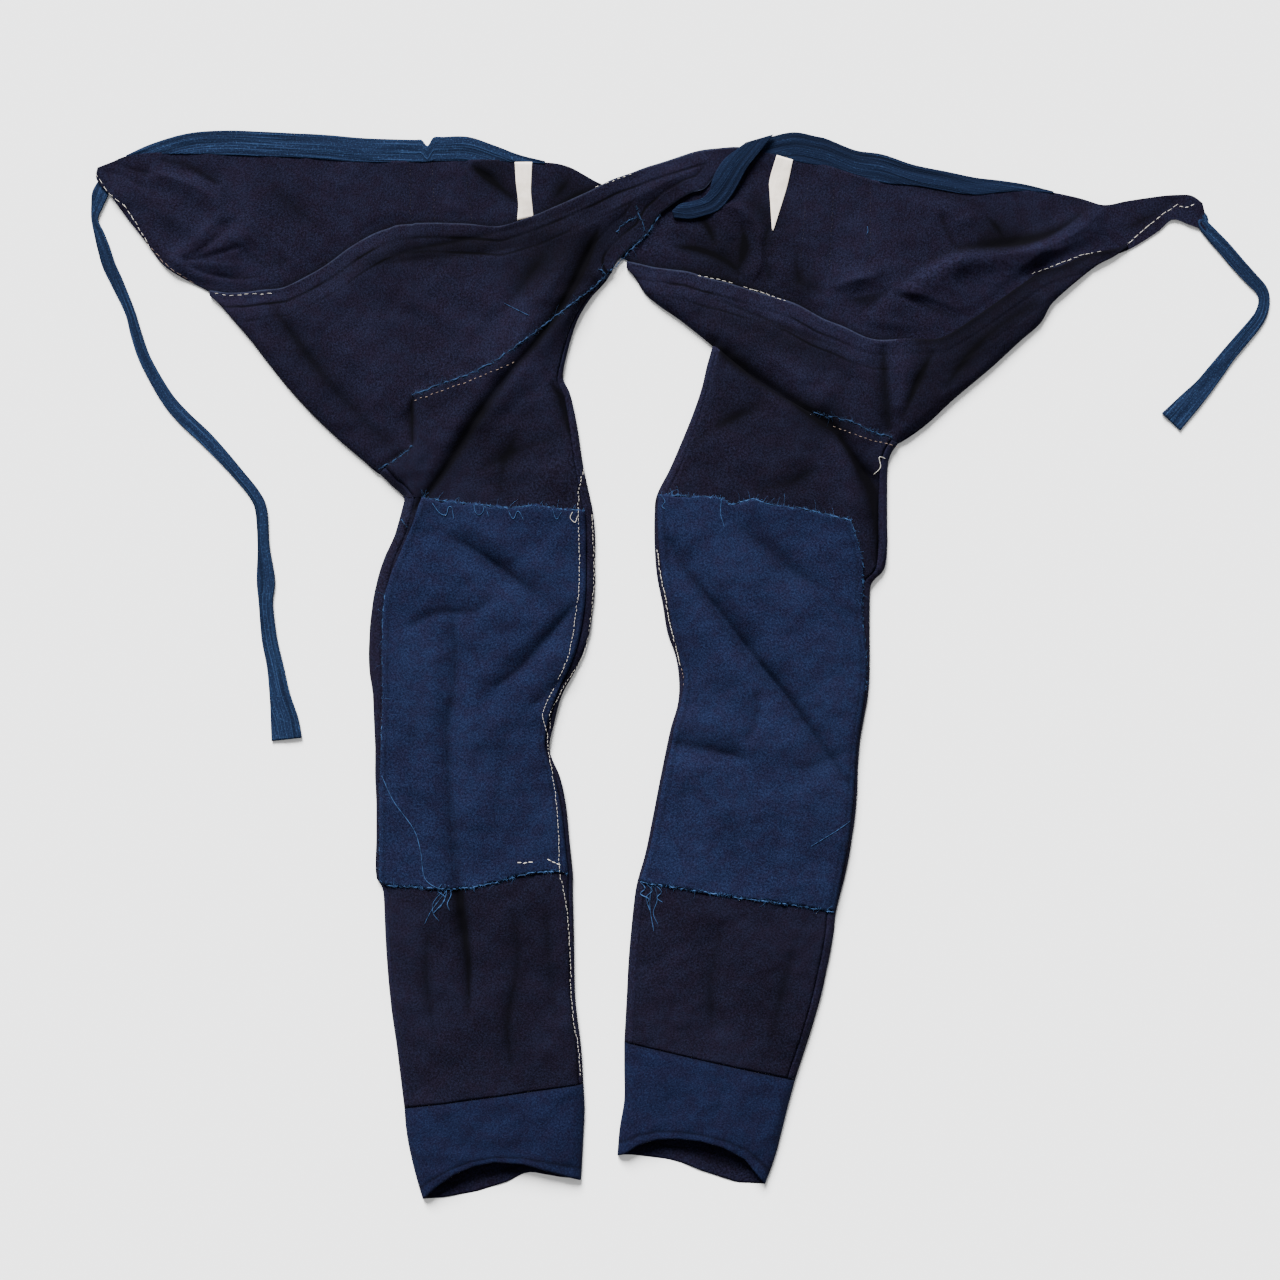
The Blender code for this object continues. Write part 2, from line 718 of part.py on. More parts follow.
def waistband_end_points(rows):
    """The band's end that curls down over the middle; the last column is its underside."""
    rows = np.array(rows, float)
    share = np.linspace(0.0, 1.0, BAND_END_POINTS)[None, :, None]
    plan = rows[:, None, :2] + (rows[:, None, 2:4] - rows[:, None, :2]) * share
    height = np.repeat(rows[:, 4:5] + DOUBLED_CLOTH, BAND_END_POINTS, axis=1)
    return with_height(plan, height)


def make_material(name, colour, roughness):
    material = bpy.data.materials.new(name)
    material.use_nodes = True
    shader = material.node_tree.nodes["Principled BSDF"]
    shader.inputs["Base Color"].default_value = (*colour, 1.0)
    shader.inputs["Roughness"].default_value = roughness
    shader.inputs["Metallic"].default_value = 0.0
    material.diffuse_color = (*colour, 1.0)
    return material


def add_sheet(
    name, points, cloth, material, collection, closed=False, turned=False, rising=False
):
    """Cloth through a grid of outer points, given its wall on the inner side.

    A closed grid joins its last column to its first, a turned one faces the other way, and
    a rising one splits each cell along its other diagonal.
    """
    rows, columns = points.shape[:2]
    index = np.arange(rows * columns).reshape(rows, columns)
    if closed:
        index = np.concatenate([index, index[:, :1]], axis=1)
    a, b = index[:-1, :-1].ravel(), index[1:, :-1].ravel()
    c, d = index[1:, 1:].ravel(), index[:-1, 1:].ravel()
    if rising:
        a, b, c, d = b, c, d, a
    faces = np.concatenate([np.stack([a, b, c], axis=1), np.stack([a, c, d], axis=1)])
    flat = points.reshape(-1, 3)
    _, kept, moved_to = np.unique(
        np.round(flat, 4), axis=0, return_index=True, return_inverse=True
    )
    faces = moved_to.reshape(-1)[faces]
    whole = (faces[:, 0] != faces[:, 1]) & (faces[:, 1] != faces[:, 2])
    faces = faces[whole & (faces[:, 0] != faces[:, 2])]
    if turned:
        faces = faces[:, ::-1]
    mesh = bpy.data.meshes.new(name)
    mesh.from_pydata((flat[kept] * METRES_PER_MM).tolist(), [], faces.tolist())
    mesh.materials.append(material)
    mesh.shade_smooth()
    sheet = bpy.data.objects.new(name, mesh)
    collection.objects.link(sheet)
    wall = sheet.modifiers.new("Wall", "SOLIDIFY")
    wall.thickness = cloth * METRES_PER_MM
    wall.offset = -1.0
    wall.use_quality_normals = True
    return sheet


def clear_scene():
    for scene_object in list(bpy.data.objects):
        bpy.data.objects.remove(scene_object, do_unlink=True)


def build_half(side, half, tables, materials, collection):
    dark, patch, cuff, band, tape = materials
    add_sheet(f"{side}_hip_back", hip_back_points(half), CLOTH, dark, collection)
    add_sheet(f"{side}_hip_front", hip_front_points(half), CLOTH, dark, collection)
    rising = tables["rising"]
    leg_front = leg_front_points(half)
    add_sheet(f"{side}_leg_front", leg_front, CLOTH, dark, collection, rising=rising)
    leg_back = leg_back_points(half)
    add_sheet(f"{side}_leg_back", leg_back, CLOTH, dark, collection, turned=True)
    add_sheet(f"{side}_cuff", cuff_points(half), CLOTH, cuff, collection, closed=True)
    knee = patch_points(half, *tables["patch"])
    add_sheet(f"{side}_knee_patch", knee, PATCH_CLOTH, patch, collection, rising=rising)
    waistband = waistband_points(half)
    add_sheet(f"{side}_waistband", waistband, DOUBLED_CLOTH, band, collection)
    tie = tie_points(tables["tie"])
    add_sheet(f"{side}_tie", tie, DOUBLED_CLOTH, band, collection)
    tab = tab_points(half, tables["tab"])
    add_sheet(f"{side}_tape_tab", tab, TAPE_CLOTH, tape, collection)


def main():
    clear_scene()
    collection = bpy.data.collections.new("momohiki_work_pants")
    bpy.context.scene.collection.children.link(collection)
    materials = (
        make_material("dark_indigo_cotton", DARK_INDIGO, 0.88),
        make_material("mid_indigo_cotton", PATCH_INDIGO, 0.86),
        make_material("cuff_indigo_cotton", CUFF_INDIGO, 0.86),
        make_material("slub_blue_cotton", BAND_BLUE, 0.84),
        make_material("cream_tape", TAPE_CREAM, 0.80),
    )
    left = as_half(
        LEFT_LEG, LEFT_CUFF, LEFT_HIP_FRONT, LEFT_HIP_BACK,
        LEFT_FOLDS, LEFT_BACK_FOLDS, LEFT_MOUTH, mirror=False,
    )
    right = as_half(
        RIGHT_LEG, RIGHT_CUFF, RIGHT_HIP_FRONT, RIGHT_HIP_BACK,
        RIGHT_FOLDS, RIGHT_BACK_FOLDS, RIGHT_MOUTH, mirror=True,
    )
    left_tables = {
        "patch": (LEFT_PATCH_ROWS, LEFT_PATCH_STARTS),
        "rising": True,
        "tie": LEFT_TIE,
        "tab": LEFT_TAB,
    }
    right_tables = {
        "patch": (RIGHT_PATCH_ROWS, (), RIGHT_PATCH_ENDS),
        "rising": False,
        "tie": RIGHT_TIE,
        "tab": RIGHT_TAB,
    }
    build_half("left", left, left_tables, materials, collection)
    build_half("right", right, right_tables, materials, collection)
    band_end = waistband_end_points(WAISTBAND_END)
    add_sheet("right_waistband_end", band_end, DOUBLED_CLOTH, materials[3], collection)


main()
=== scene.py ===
"""Looks of the momohiki work pants, laid flat and open, laid out like a Blender add-on.

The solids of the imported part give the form. Each of them is replaced here by a finer cloth
shell, worked out from the same plan sizes, with creases, hems, sewing and frayed edges.
Tables are in millimetres: +X is the right of the laid garment, +Y its waist, z = 0 the floor.
"""

import bpy
import numpy as np
from bpy.props import FloatProperty, FloatVectorProperty, PointerProperty
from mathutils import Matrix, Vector


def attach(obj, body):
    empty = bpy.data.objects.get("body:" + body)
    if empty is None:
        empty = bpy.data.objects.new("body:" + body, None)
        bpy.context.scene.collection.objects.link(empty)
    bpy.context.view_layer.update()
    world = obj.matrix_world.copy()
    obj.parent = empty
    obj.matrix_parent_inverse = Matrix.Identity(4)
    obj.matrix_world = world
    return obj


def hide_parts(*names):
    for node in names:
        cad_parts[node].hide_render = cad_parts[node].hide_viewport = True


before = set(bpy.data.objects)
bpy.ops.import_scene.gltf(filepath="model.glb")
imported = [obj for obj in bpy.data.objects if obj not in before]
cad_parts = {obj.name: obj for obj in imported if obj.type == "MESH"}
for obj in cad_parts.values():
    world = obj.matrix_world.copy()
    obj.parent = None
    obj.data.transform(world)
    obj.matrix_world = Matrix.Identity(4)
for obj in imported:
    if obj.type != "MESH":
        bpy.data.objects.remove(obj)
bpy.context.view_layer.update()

bl_info = {
    "name": "Momohiki Work Pants",
    "version": (1, 0, 0),
    "blender": (4, 5, 0),
    "location": "View3D > Sidebar > Momohiki",
    "description": "Builds a laid pair of indigo work pants from cloth shells and sewing",
    "category": "Add Mesh",
}

METRES_PER_MM = 0.001

# How the upper layer rises from a folded side: a rounded shoulder, then a slow dome.
SIDE_HEIGHT = 1.7
SHOULDER_HEIGHT = 7.5
SHOULDER_WIDTH = 9.0
SHOULDER_POWER = 2.2
LEG_DOME = 4.5
HIP_DOME = 2.5
DOME_WIDTH = 60.0
HIP_TO_LEG_Y = (150.0, 300.0)

# Where a free edge of the upper layer lies down, and how far it takes to rise again.
EDGE_REST_HEIGHT = 3.4
EDGE_REST_WIDTH = 28.0

# The back layer's upper face, and where its folds begin beyond the front's free edge.
BACK_TOP = 1.3
BACK_FOLD_FADE = (3.0, 16.0)

# Distances between the points of a shell, and points close together round a folded side.
FINE_STEP = 2.2
FLOOR_STEP = 6.0
SIDE_STEPS = (0.25, 0.7, 1.4, 2.4, 3.8, 5.6, 8.0)
FOLD_REACH, FOLD_HEIGHTS = (2.1, 0.35, 0.0), (0.06, 0.35, 1.1)

# Where two panels are sewn, one runs on below the other by this much.
UNDERLAP = (5.0, 3.0, 1.0)
LEG_JOIN_ROWS = 5.0
UNDERLAP_DROP = 1.25
FRONT_LOWEST = 2.6
LAP_LIFT, LAP_FADE = 0.9, (5.0, 20.0)
PATCH_LIFT = 1.35
BACK_SIDE_CLEARANCE = 2.6
BACK_SLANT = 1.6
BACK_SEAT_REACH = 4.0

# A leg back's lip below the front, its points out to the side, and its foot on the floor.
BACK_ROW_STEP = 3.2
LIP_UNDER = (3.4, 2.0, 0.9, 0.2)
LIP_SHARES = (0.93, 0.8, 0.62, 0.45, 0.3, 0.17, 0.08, 0.02, 0.0)
FOOT = ((0.1, 0.95), (0.45, 0.4), (1.1, 0.12), (2.2, 0.0))
SEAM_DIP = 0.5

# The cuffs: points in from a side, length, rise over the leg, and the sewn line of the hem.
CUFF_SIDE = (0.0, 0.12, 0.4, 0.9, 1.6, 2.6, 4.0, 6.0, 8.4)
CUFF_LENGTH = 70.0
CUFF_GAP = 0.25
CUFF_RISE = 0.25
CUFF_HEM = 9.0

# Bands, ties and tabs.
FLOOR_GAP = 0.03
BAND_LAP = 1.2
BAND_THICKNESS = 2.4
TIE_THICKNESS = 2.3
TIE_ROOT = (9.0, 18.0)
TIE_STEP = 1.8
TIE_SEEDS = {"left": 8, "right": 12}
TAB_GAP = 0.15
TAB_THICKNESS = 0.8
BAND_COLUMNS, TIE_COLUMNS, TAB_COLUMNS = 17, 15, 11

# The leg and hip backs are this much thicker than the panel's cloth.
BACK_WALL_SHARE = 1.2

# Sewing and frays: points along a thread and a frayed edge, sides of their tubes, and what is
# added to a half's seed for their random draws.
THREAD_STEP, FRAY_STEP = 0.9, 0.8
STITCH_SIDES, CORD_SIDES, FIBRE_SIDES = 5, 6, 3
SEWING_SEED, FRAY_SEED = 40, 60

# The narrow doubled hem of the fronts, and the second pressed line inside it. A groove, that
# line and the rolled edge are bells, each with its depth and width.
HEM_WIDTH = 12.5
HEM_RISE = 0.45
SECOND_LINE = 25.0
HEM_GROOVE, PRESSED_LINE, ROLLED_EDGE = (-0.5, 1.3), (-0.3, 1.6), (-0.8, 0.9)

# What the lower end of a hip section is: a folded side, the leg seam, or a free edge.
FOLD, SEAM, FREE = "fold", "seam", "free"

LEFT_LEG = (
    # left side x, y, right side x, y, seam in from left, from right
    (-258, 164, -58, 338, 7, 6),
    (-254.6, 160.8, -72, 321.5, 7, 6),
    (-251.1, 157.4, -83, 306, 7, 6),
    (-247.7, 153.9, -90.3, 290.7, 7, 6),
    (-244.2, 150.9, -97.2, 266.6, 8, 6),
    (-241.7, 148.8, -100.6, 246.8, 8, 6),
    (-239.9, 147.1, -94.6, 233.9, 8, 6),
    (-238.7, 145.8, -88.6, 207.3, 8, 7),
    (-237.8, 144.5, -83.4, 172.9, 9, 7),
    (-237.4, 143.2, -78.3, 148.8, 9, 8),
    (-237, 141, -75, 133, 10, 8),
    (-245, 112, -73, 112, 10, 8),
    (-254, 92, -73, 90, 10, 8),
    (-261, 69, -73, 68, 11, 8),
    (-265, 46, -75, 46, 12, 8),
    (-267, 22, -79, 22, 12, 8),
    (-267, -3, -89, -3, 11, 7),
    (-264, -25, -101, -25, 9, 5),
    (-263, -49, -108, -50, 6, 4),
    (-262, -71, -112, -73, 5, 4),
    (-262, -95, -103, -96, 5, 4),
    (-261, -119, -98, -119, 4, 4),
    (-261, -149, -95, -149, 4, 4),
    (-261, -181, -92, -179, 4, 4),
    (-255, -194, -92, -193, 5, 4),
    (-253, -236, -91, -235, 5, 4),
    (-249, -286, -90, -285, 5, 4),
    (-243, -331, -85, -327, 5, 4),
    (-237, -380, -83, -359, 5, 4),
)

LEFT_CUFF = (
    # left side x, y, right side x, y
    (-237, -380, -83, -359),
    (-235, -401, -82, -381),
    (-231, -422, -83, -404),
    (-226, -442, -84, -424),
    (-221, -459, -85, -442),
)

LEFT_HIP_FRONT = (
    # free edge x, y, lower end x, y, what the lower end is
    (-404, 322, -404, 317, FOLD),
    (-390, 320, -396, 310, FOLD),
    (-374, 320, -383, 295, FOLD),
    (-359, 322, -370, 280, FOLD),
    (-341, 324, -353, 258, FOLD),
    (-324, 332, -337, 238, FOLD),
    (-305, 343, -316, 215, FOLD),
    (-284, 358, -294, 194, FOLD),
    (-263, 370, -273, 176, FOLD),
    (-249, 375, -258, 164, FOLD),
    (-244, 377, -251.8, 169.6, SEAM),
    (-236, 378, -242, 178, SEAM),
    (-230, 378, -230, 187, SEAM),
    (-227, 379, -230, 209, SEAM),
    (-223, 379, -230, 230, SEAM),
    (-208, 379, -212, 237, SEAM),
    (-182, 378, -183, 248, SEAM),
    (-155, 376, -156, 261, SEAM),
    (-127, 385, -127, 282, SEAM),
    (-103, 395, -103, 301, SEAM),
    (-79, 406, -78, 320, SEAM),
    (-62, 415, -64, 334, SEAM),
    (-55, 418, -54, 346, FREE),
    (-43, 422, -42, 359, FREE),
    (-30, 427, -29, 369, FREE),
    (-15, 432, -20, 384, FREE),
    (0, 437, -7, 395, FREE),
    (17, 442, 9, 405, FREE),
    (33, 444, 21, 409, FREE),
    (44, 445, 33, 424, FREE),
    (52, 445, 49, 442, FREE),
)

LEFT_HIP_BACK = (
    # waist x, y, lower end x, y, waistband width
    (-500, 427, -501, 423, 0),
    (-488, 432, -501, 417, 0),
    (-476, 437, -495, 409, 1),
    (-454, 440, -488, 402, 8),
    (-423, 440, -475, 384, 17),
    (-391, 439, -460, 365, 20.5),
    (-359, 438, -441, 341, 20.5),
    (-329, 437, -407, 322, 20),
    (-320, 436.5, -399, 318, 20.2),
    (-301, 435, -380, 296, 20.5),
    (-273, 433, -357, 267, 20),
    (-248, 433, -324, 229, 19),
    (-228, 433, -297, 199, 18.5),
    (-222, 433, -289, 193, 18.5),
    (-217, 433.5, -279, 185, 12.5),
    (-212, 434, -267, 176, 19.5),
    (-204, 434, -254, 166, 20),
    (-182, 434, -229, 190, 20),
    (-159, 434, -194, 221, 12.5),
    (-138, 433, -159, 251, 5.5),
    (-116, 432, -125, 281, 1),
    (-95, 428, -90, 311, 0),
    (-66, 413, -58, 344, 0),
    (-47, 414, -54, 353, 0),
    (-34, 420, -41, 373, 0),
    (-20, 424, -24, 400, 0),
    (-8, 427, -9, 424, 0),
)

RIGHT_LEG = (
    # left side x, y, right side x, y, seam in from left, from right
    (28, 274, 187, 190, 5, 7),
    (23, 257, 182, 183, 5, 7),
    (18, 236, 179, 175, 5, 7),
    (10, 213, 178, 163, 6, 8),
    (1, 191, 178, 150, 7, 8),
    (-9, 168, 178, 135, 8, 8),
    (-20, 146, 178, 120, 8, 8),
    (-22, 130, 178, 102, 8, 8),
    (-22, 103, 175, 82, 8, 8),
    (-20, 77, 164, 69, 8, 8),
    (-15, 52, 163, 46, 8, 8),
    (-11, 28, 163, 22, 8, 8),
    (-4, 8, 163, 1, 8, 8),
    (-1, -13, 162, -21, 8, 8),
    (-2, -33, 159, -41, 8, 8),
    (-8, -54, 155, -63, 8, 8),
    (-13, -77, 153, -85, 8, 8),
    (-18, -102, 152, -113, 8, 8),
    (-24, -133, 148, -147, 8, 8),
    (-30, -162, 142, -180, 8, 8),
    (-37, -187, 134, -212, 8, 8),
    (-40, -207, 132, -230, 8, 8),
    (-44, -249, 126, -262, 8, 8),
    (-46, -286, 117, -299, 8, 8),
    (-48, -323, 99, -356, 8, 8),
)

RIGHT_CUFF = (
    # left side x, y, right side x, y
    (-48, -323, 99, -356),
    (-48, -348, 93, -378),
    (-48, -373, 87, -402),
    (-52, -398, 81, -424),
    (-54, -421, 73, -446),
)

RIGHT_HIP_FRONT = (
    # free edge x, y, lower end x, y, what the lower end is
    (-46, 347, -46, 341, FOLD),
    (-36, 345, -39, 333, FOLD),
    (-24, 342, -30, 319, FOLD),
    (-10, 340, -17, 308, FOLD),
    (7, 338, -1, 297, FOLD),
    (22, 333, 17, 283, FOLD),
    (33, 330, 28, 274, FOLD),
    (41, 328, 34, 270, SEAM),
    (60, 322, 51, 256, SEAM),
    (84, 315, 77, 236, SEAM),
    (101, 309, 93, 227, SEAM),
    (122, 297, 114, 215, SEAM),
    (140, 290, 131, 212, SEAM),
    (157, 282, 147, 208, SEAM),
    (169, 279, 158, 202, SEAM),
    (180, 279, 169, 199, SEAM),
    (192, 280, 181, 194, SEAM),
    (201, 280, 187, 190, FOLD),
    (224, 281, 211, 206, FOLD),
    (248, 295, 236, 229, FOLD),
    (271, 311, 267, 255, FOLD),
    (292, 326, 292, 278, FOLD),
    (310, 338, 310, 294, FOLD),
    (327, 343, 321, 312, FOLD),
    (351, 353, 355, 341, FOLD),
    (372, 357, 373, 351, FOLD),
    (384, 362, 385, 359.5, FOLD),
)

RIGHT_HIP_BACK = (
    # waist x, y, lower end x, y, waistband width
    (-6.2, 427.1, -7.1, 423.6, 0),
    (9, 429, -23.6, 399.6, 0),
    (26, 434, -40.8, 372.9, 0),
    (43, 438, -53.7, 353.1, 0),
    (56, 439, -42, 345, 9),
    (74, 440, -28, 323, 13),
    (97, 434, 2, 299, 24),
    (117, 430.5, 27.6, 279, 24),
    (127, 429, 36, 270.5, 23),
    (151, 421, 69, 253, 21.5),
    (174, 415, 108, 232, 24),
    (201, 413, 146, 212, 17),
    (230, 408, 183, 193, 16),
    (254, 405, 208, 208, 14),
    (275, 407, 234, 231, 9.5),
    (297, 408, 264, 259, 5),
    (321, 406, 298, 289, 1),
    (344, 401, 317, 315, 0),
    (363, 395, 353, 344, 0),
    (385, 399, 385, 356.5, 0),
    (413, 403, 410, 372, 0),
    (430, 404, 423, 382.5, 0),
    (440, 403, 438, 378, 0),
    (449, 397, 455, 371.5, 0),
)

WAISTBAND_END = (
    # left x, y, right x, y, height of the underside
    (56, 448, 80, 455, 4.6),
    (48, 442, 74, 447, 4.6),
    (37, 433, 66, 437, 4.6),
    (30, 422, 58, 427, 4.6),
    (27, 414, 52, 416, 4.4),
    (25, 407, 44, 402, 3.6),
    (19, 401, 34, 391, 2.6),
    (9, 398, 22, 386, 2.0),
    (0, 396, 9, 383, 1.8),
    (-7, 390, -5, 384, 1.8),
)

LEFT_TIE = (
    # x, y, width
    (-492, 421, 9),
    (-498, 406, 14),
    (-501, 395, 10.5),
    (-503, 383, 6),
    (-499, 370, 9),
    (-495, 357, 11),
    (-491, 344, 11.5),
    (-484, 329, 11),
    (-473, 304, 9),
    (-467, 283, 10),
    (-459, 261, 10.5),
    (-442, 231, 11.5),
    (-427, 213, 12.5),
    (-408, 195, 12.5),
    (-391, 177, 11),
    (-378, 162, 10),
    (-366, 147, 10),
    (-360, 133, 10.5),
    (-358, 103, 10.5),
    (-356, 73, 16),
    (-356, 53, 12.5),
    (-353, 23, 13.5),
    (-348, -1, 14.5),
    (-344, -26, 18),
    (-340, -47, 24),
    (-338, -64, 26.5),
)

RIGHT_TIE = (
    # x, y, width
    (437, 394, 12),
    (444, 389, 11),
    (449.7, 383.2, 9),
    (449.4, 379, 9.5),
    (457, 370, 11),
    (468, 358, 12),
    (480, 344, 12),
    (491, 332, 11.5),
    (500, 322, 10.5),
    (502, 312, 10),
    (499, 301, 11),
    (493, 292, 12),
    (482, 279, 12.5),
    (471, 266, 13),
    (461, 253, 14.5),
    (450, 239, 16),
    (438, 226, 19),
    (422, 209, 22),
)

LEFT_TAB = (
    # left x, y, right x, y
    (-142, 432, -127, 432),
    (-141, 415, -128, 408),
    (-139, 396, -127, 396),
    (-140, 382, -126, 385),
)

RIGHT_TAB = (
    # left x, y, right x, y
    (83, 438, 97, 434),
    (77, 417, 93, 415),
    (77, 405, 89, 401),
    (79, 374, 80, 373),
)

LEFT_FOLDS = (
    # from x, y, to x, y, height, width on the left of that run, on the right
    (-79, 326, -224, 142, 4.0, 11, 32),
    (-224, 230, -224, 168, 2.0, 14, 6),
    (-191, 56, -197, -86, -1.8, 12, 12),
    (-197, -86, -184, -228, -1.4, 11, 11),
    (-182, 103, -125, 56, -2.4, 12, 12),
    (-107, 22, -163, -30, -2.2, 12, 12),
    (-116, -71, -168, -116, 1.6, 14, 14),
)

RIGHT_FOLDS = (
    # from x, y, to x, y, height, width on the left of that run, on the right
    (28, 280, 116, 221, 2.6, 24, 9),
    (131, 204, 162, 154, -3.0, 9, 9),
    (162, 154, 172, 90, -2.6, 9, 9),
    (176, 275, 177, 197, -1.6, 9, 9),
    (-5, 99, 56, 17, -2.6, 13, 13),
    (56, 17, 114, -69, -2.0, 13, 13),
    (47, 125, 95, 77, -2.0, 14, 14),
    (-7, -69, 47, -79, -2.2, 12, 12),
    (9, -47, 146, -89, 1.6, 16, 16),
)

LEFT_BACK_FOLDS = (
    # from x, y, to x, y, height, width on the left of that run, on the right
    (-477, 408, -394, 359, 3.0, 12, 14),
    (-430, 348, -378, 369, 2.4, 11, 11),
)

RIGHT_BACK_FOLDS = (
    # from x, y, to x, y, height, width on the left of that run, on the right
    (187, 314, 239, 346, 3.6, 14, 13),
    (239, 346, 306, 357, 4.4, 14, 12),
    (306, 357, 358, 388, 3.6, 13, 12),
    (134, 331, 176, 338, 1.5, 10, 10),
)

# Where the waist opening of each half gapes: x, y, half width, height.
LEFT_MOUTH = (-174, 378, 95, 5.5)
RIGHT_MOUTH = (133, 292, 80, 5.5)

# The left front runs on as a strip over the middle, and lies lower from here to here in x.
STRIP_FROM_X, STRIP_TO_X = -103.0, -50.0
STRIP_RISE_SHARE = 0.25


LEFT_CREASES = (
    # height, width on the left of the line, on the right, points along it
    (-1, 2.5, 2.5, ((-267, 347), (-224, 357), (-172, 367), (-120, 381), (-69, 400))),
    (-0.9, 3, 3, ((-267, 343), (-222, 348), (-163, 354), (-129, 361))),
    (2.3, 6, 9, ((-90, 369), (-34, 403), (17, 427))),
    (-2, 9, 9, ((-354, 314), (-311, 255), (-268, 207), (-237, 181))),
    (1.7, 12, 14, ((-301, 288), (-267, 245), (-241, 211))),
    (-1.1, 10, 10, ((-194, 257), (-163, 292), (-136, 324), (-107, 366))),
    (1.4, 12, 12, ((-138, 347), (-172, 288), (-206, 252))),
    (-5.2, 4.5, 5, (
        (-69, 376), (-93, 322), (-120, 281), (-150, 245), (-174, 211), (-200, 169),
        (-220, 142), (-237, 125),
    )),
    (2.6, 7, 14, ((-77, 381), (-114, 316), (-144, 269), (-174, 230), (-201, 187), (-224, 150))),
    (-3.5, 2.6, 3.5, ((-229, 230), (-230, 209), (-229, 187))),
    (-1.9, 3, 3, ((-258, 167), (-244, 178), (-230, 186))),
    (-3.8, 6, 3.5, ((-112, 242), (-101, 226), (-94, 194))),
    (-1.4, 7, 7, ((-174, 166), (-133, 187), (-98, 197))),
    (-1.4, 6, 6, ((-155, 142), (-150, 175), (-138, 202))),
    (-3.2, 4, 6, ((-200, 112), (-172, 96), (-150, 80), (-119, 58))),
    (1.4, 8, 8, ((-182, 121), (-150, 101), (-116, 77))),
    (-3.3, 4, 4.5, ((-160, -20), (-138, -3), (-116, 22), (-88, 54))),
    (1.4, 8, 8, ((-138, -22), (-110, 4), (-84, 32))),
    (-2.6, 4, 4.5, ((-234, 32), (-206, 45), (-177, 46), (-160, 59))),
    (-4.1, 3, 6, (
        (-194, 47), (-192, 13), (-193, -22), (-198, -54), (-197, -90), (-194, -142), (-190, -178),
        (-187, -207), (-181, -254), (-181, -301),
    )),
    (1.6, 9, 9, ((-177, 22), (-175, -30), (-181, -82), (-177, -142))),
    (1.4, 9, 9, ((-210, 13), (-212, -39), (-213, -99), (-208, -159))),
    (-2.9, 4, 4, ((-127, -35), (-114, -25), (-98, -9))),
    (-1.1, 7, 7, ((-144, -30), (-153, -82), (-157, -126), (-165, -159))),
    (-1, 7, 7, ((-225, -30), (-230, -82), (-229, -133))),
    (-1.6, 6, 6, ((-144, -206), (-139, -254), (-148, -305), (-144, -348))),
    (-1.1, 6, 6, ((-213, -211), (-218, -262), (-210, -322))),
    (-1, 6, 6, ((-116, -202), (-112, -254), (-107, -305))),
    (-1, 5, 5, ((-198, -384), (-193, -417))),
    (-0.9, 5, 5, ((-129, -378), (-138, -415))),
)

RIGHT_CREASES = (
    # height, width on the left of the line, on the right, points along it
    (-4.6, 7, 3.2, ((21, 280), (56, 252), (86, 232), (114, 214), (136, 200))),
    (2, 9, 9, ((17, 298), (56, 275), (103, 247), (146, 226))),
    (-5.5, 4.5, 4.5, ((131, 204), (144, 185), (157, 164), (166, 144), (170, 108), (167, 86))),
    (2.6, 8, 8, ((108, 207), (131, 178), (146, 142), (151, 103))),
    (-3.2, 3.4, 8, ((175, 275), (176, 245), (178, 221), (180, 197))),
    (-2.6, 4, 5, ((218, 271), (203, 242), (188, 206))),
    (1.7, 6, 6, ((191, 271), (193, 245), (187, 219))),
    (-1.7, 8, 8, ((310, 314), (262, 281), (224, 235))),
    (-1.9, 7, 7, ((9, 188), (36, 207), (76, 226))),
    (-1.6, 7, 7, ((119, 171), (95, 157), (62, 149))),
    (1.4, 9, 9, ((9, 228), (34, 194), (69, 168))),
    (-5.5, 4, 7, (
        (-12, 111), (9, 76), (33, 46), (60, 11), (88, -23), (114, -60), (134, -87), (148, -109),
    )),
    (2.6, 14, 12, ((-17, 77), (9, 39), (38, 4), (69, -35), (95, -73))),
    (2, 9, 12, ((17, 94), (47, 56), (82, 17), (110, -22))),
    (-3.3, 7, 8, ((45, 125), (69, 103), (95, 80), (127, 63))),
    (-2.6, 3.5, 4.5, ((66, -22), (67, -43), (57, -67))),
    (-2.8, 5, 5, ((-17, -66), (17, -71), (58, -81))),
    (-2.2, 6, 6, ((96, -89), (122, -83), (148, -71))),
    (-1, 8, 8, ((9, -90), (0, -125), (-7, -159))),
    (-1.1, 7, 7, ((88, -133), (81, -168), (89, -196))),
    (-1.1, 7, 7, ((41, -125), (48, -159), (45, -194))),
    (1.4, 12, 12, ((103, -116), (95, -168), (86, -194))),
    (-1.1, 7, 7, ((36, -224), (26, -267), (28, -314))),
    (-1.1, 7, 7, ((101, -228), (88, -275), (76, -331))),
    (1, 10, 10, ((0, -228), (-7, -288))),
    (-0.9, 5, 5, ((-7, -340), (-10, -391))),
    (-0.9, 5, 5, ((38, -353), (31, -400))),
    (-1.4, 2.6, 2.6, ((31, 314), (69, 298), (103, 284), (146, 269))),
)

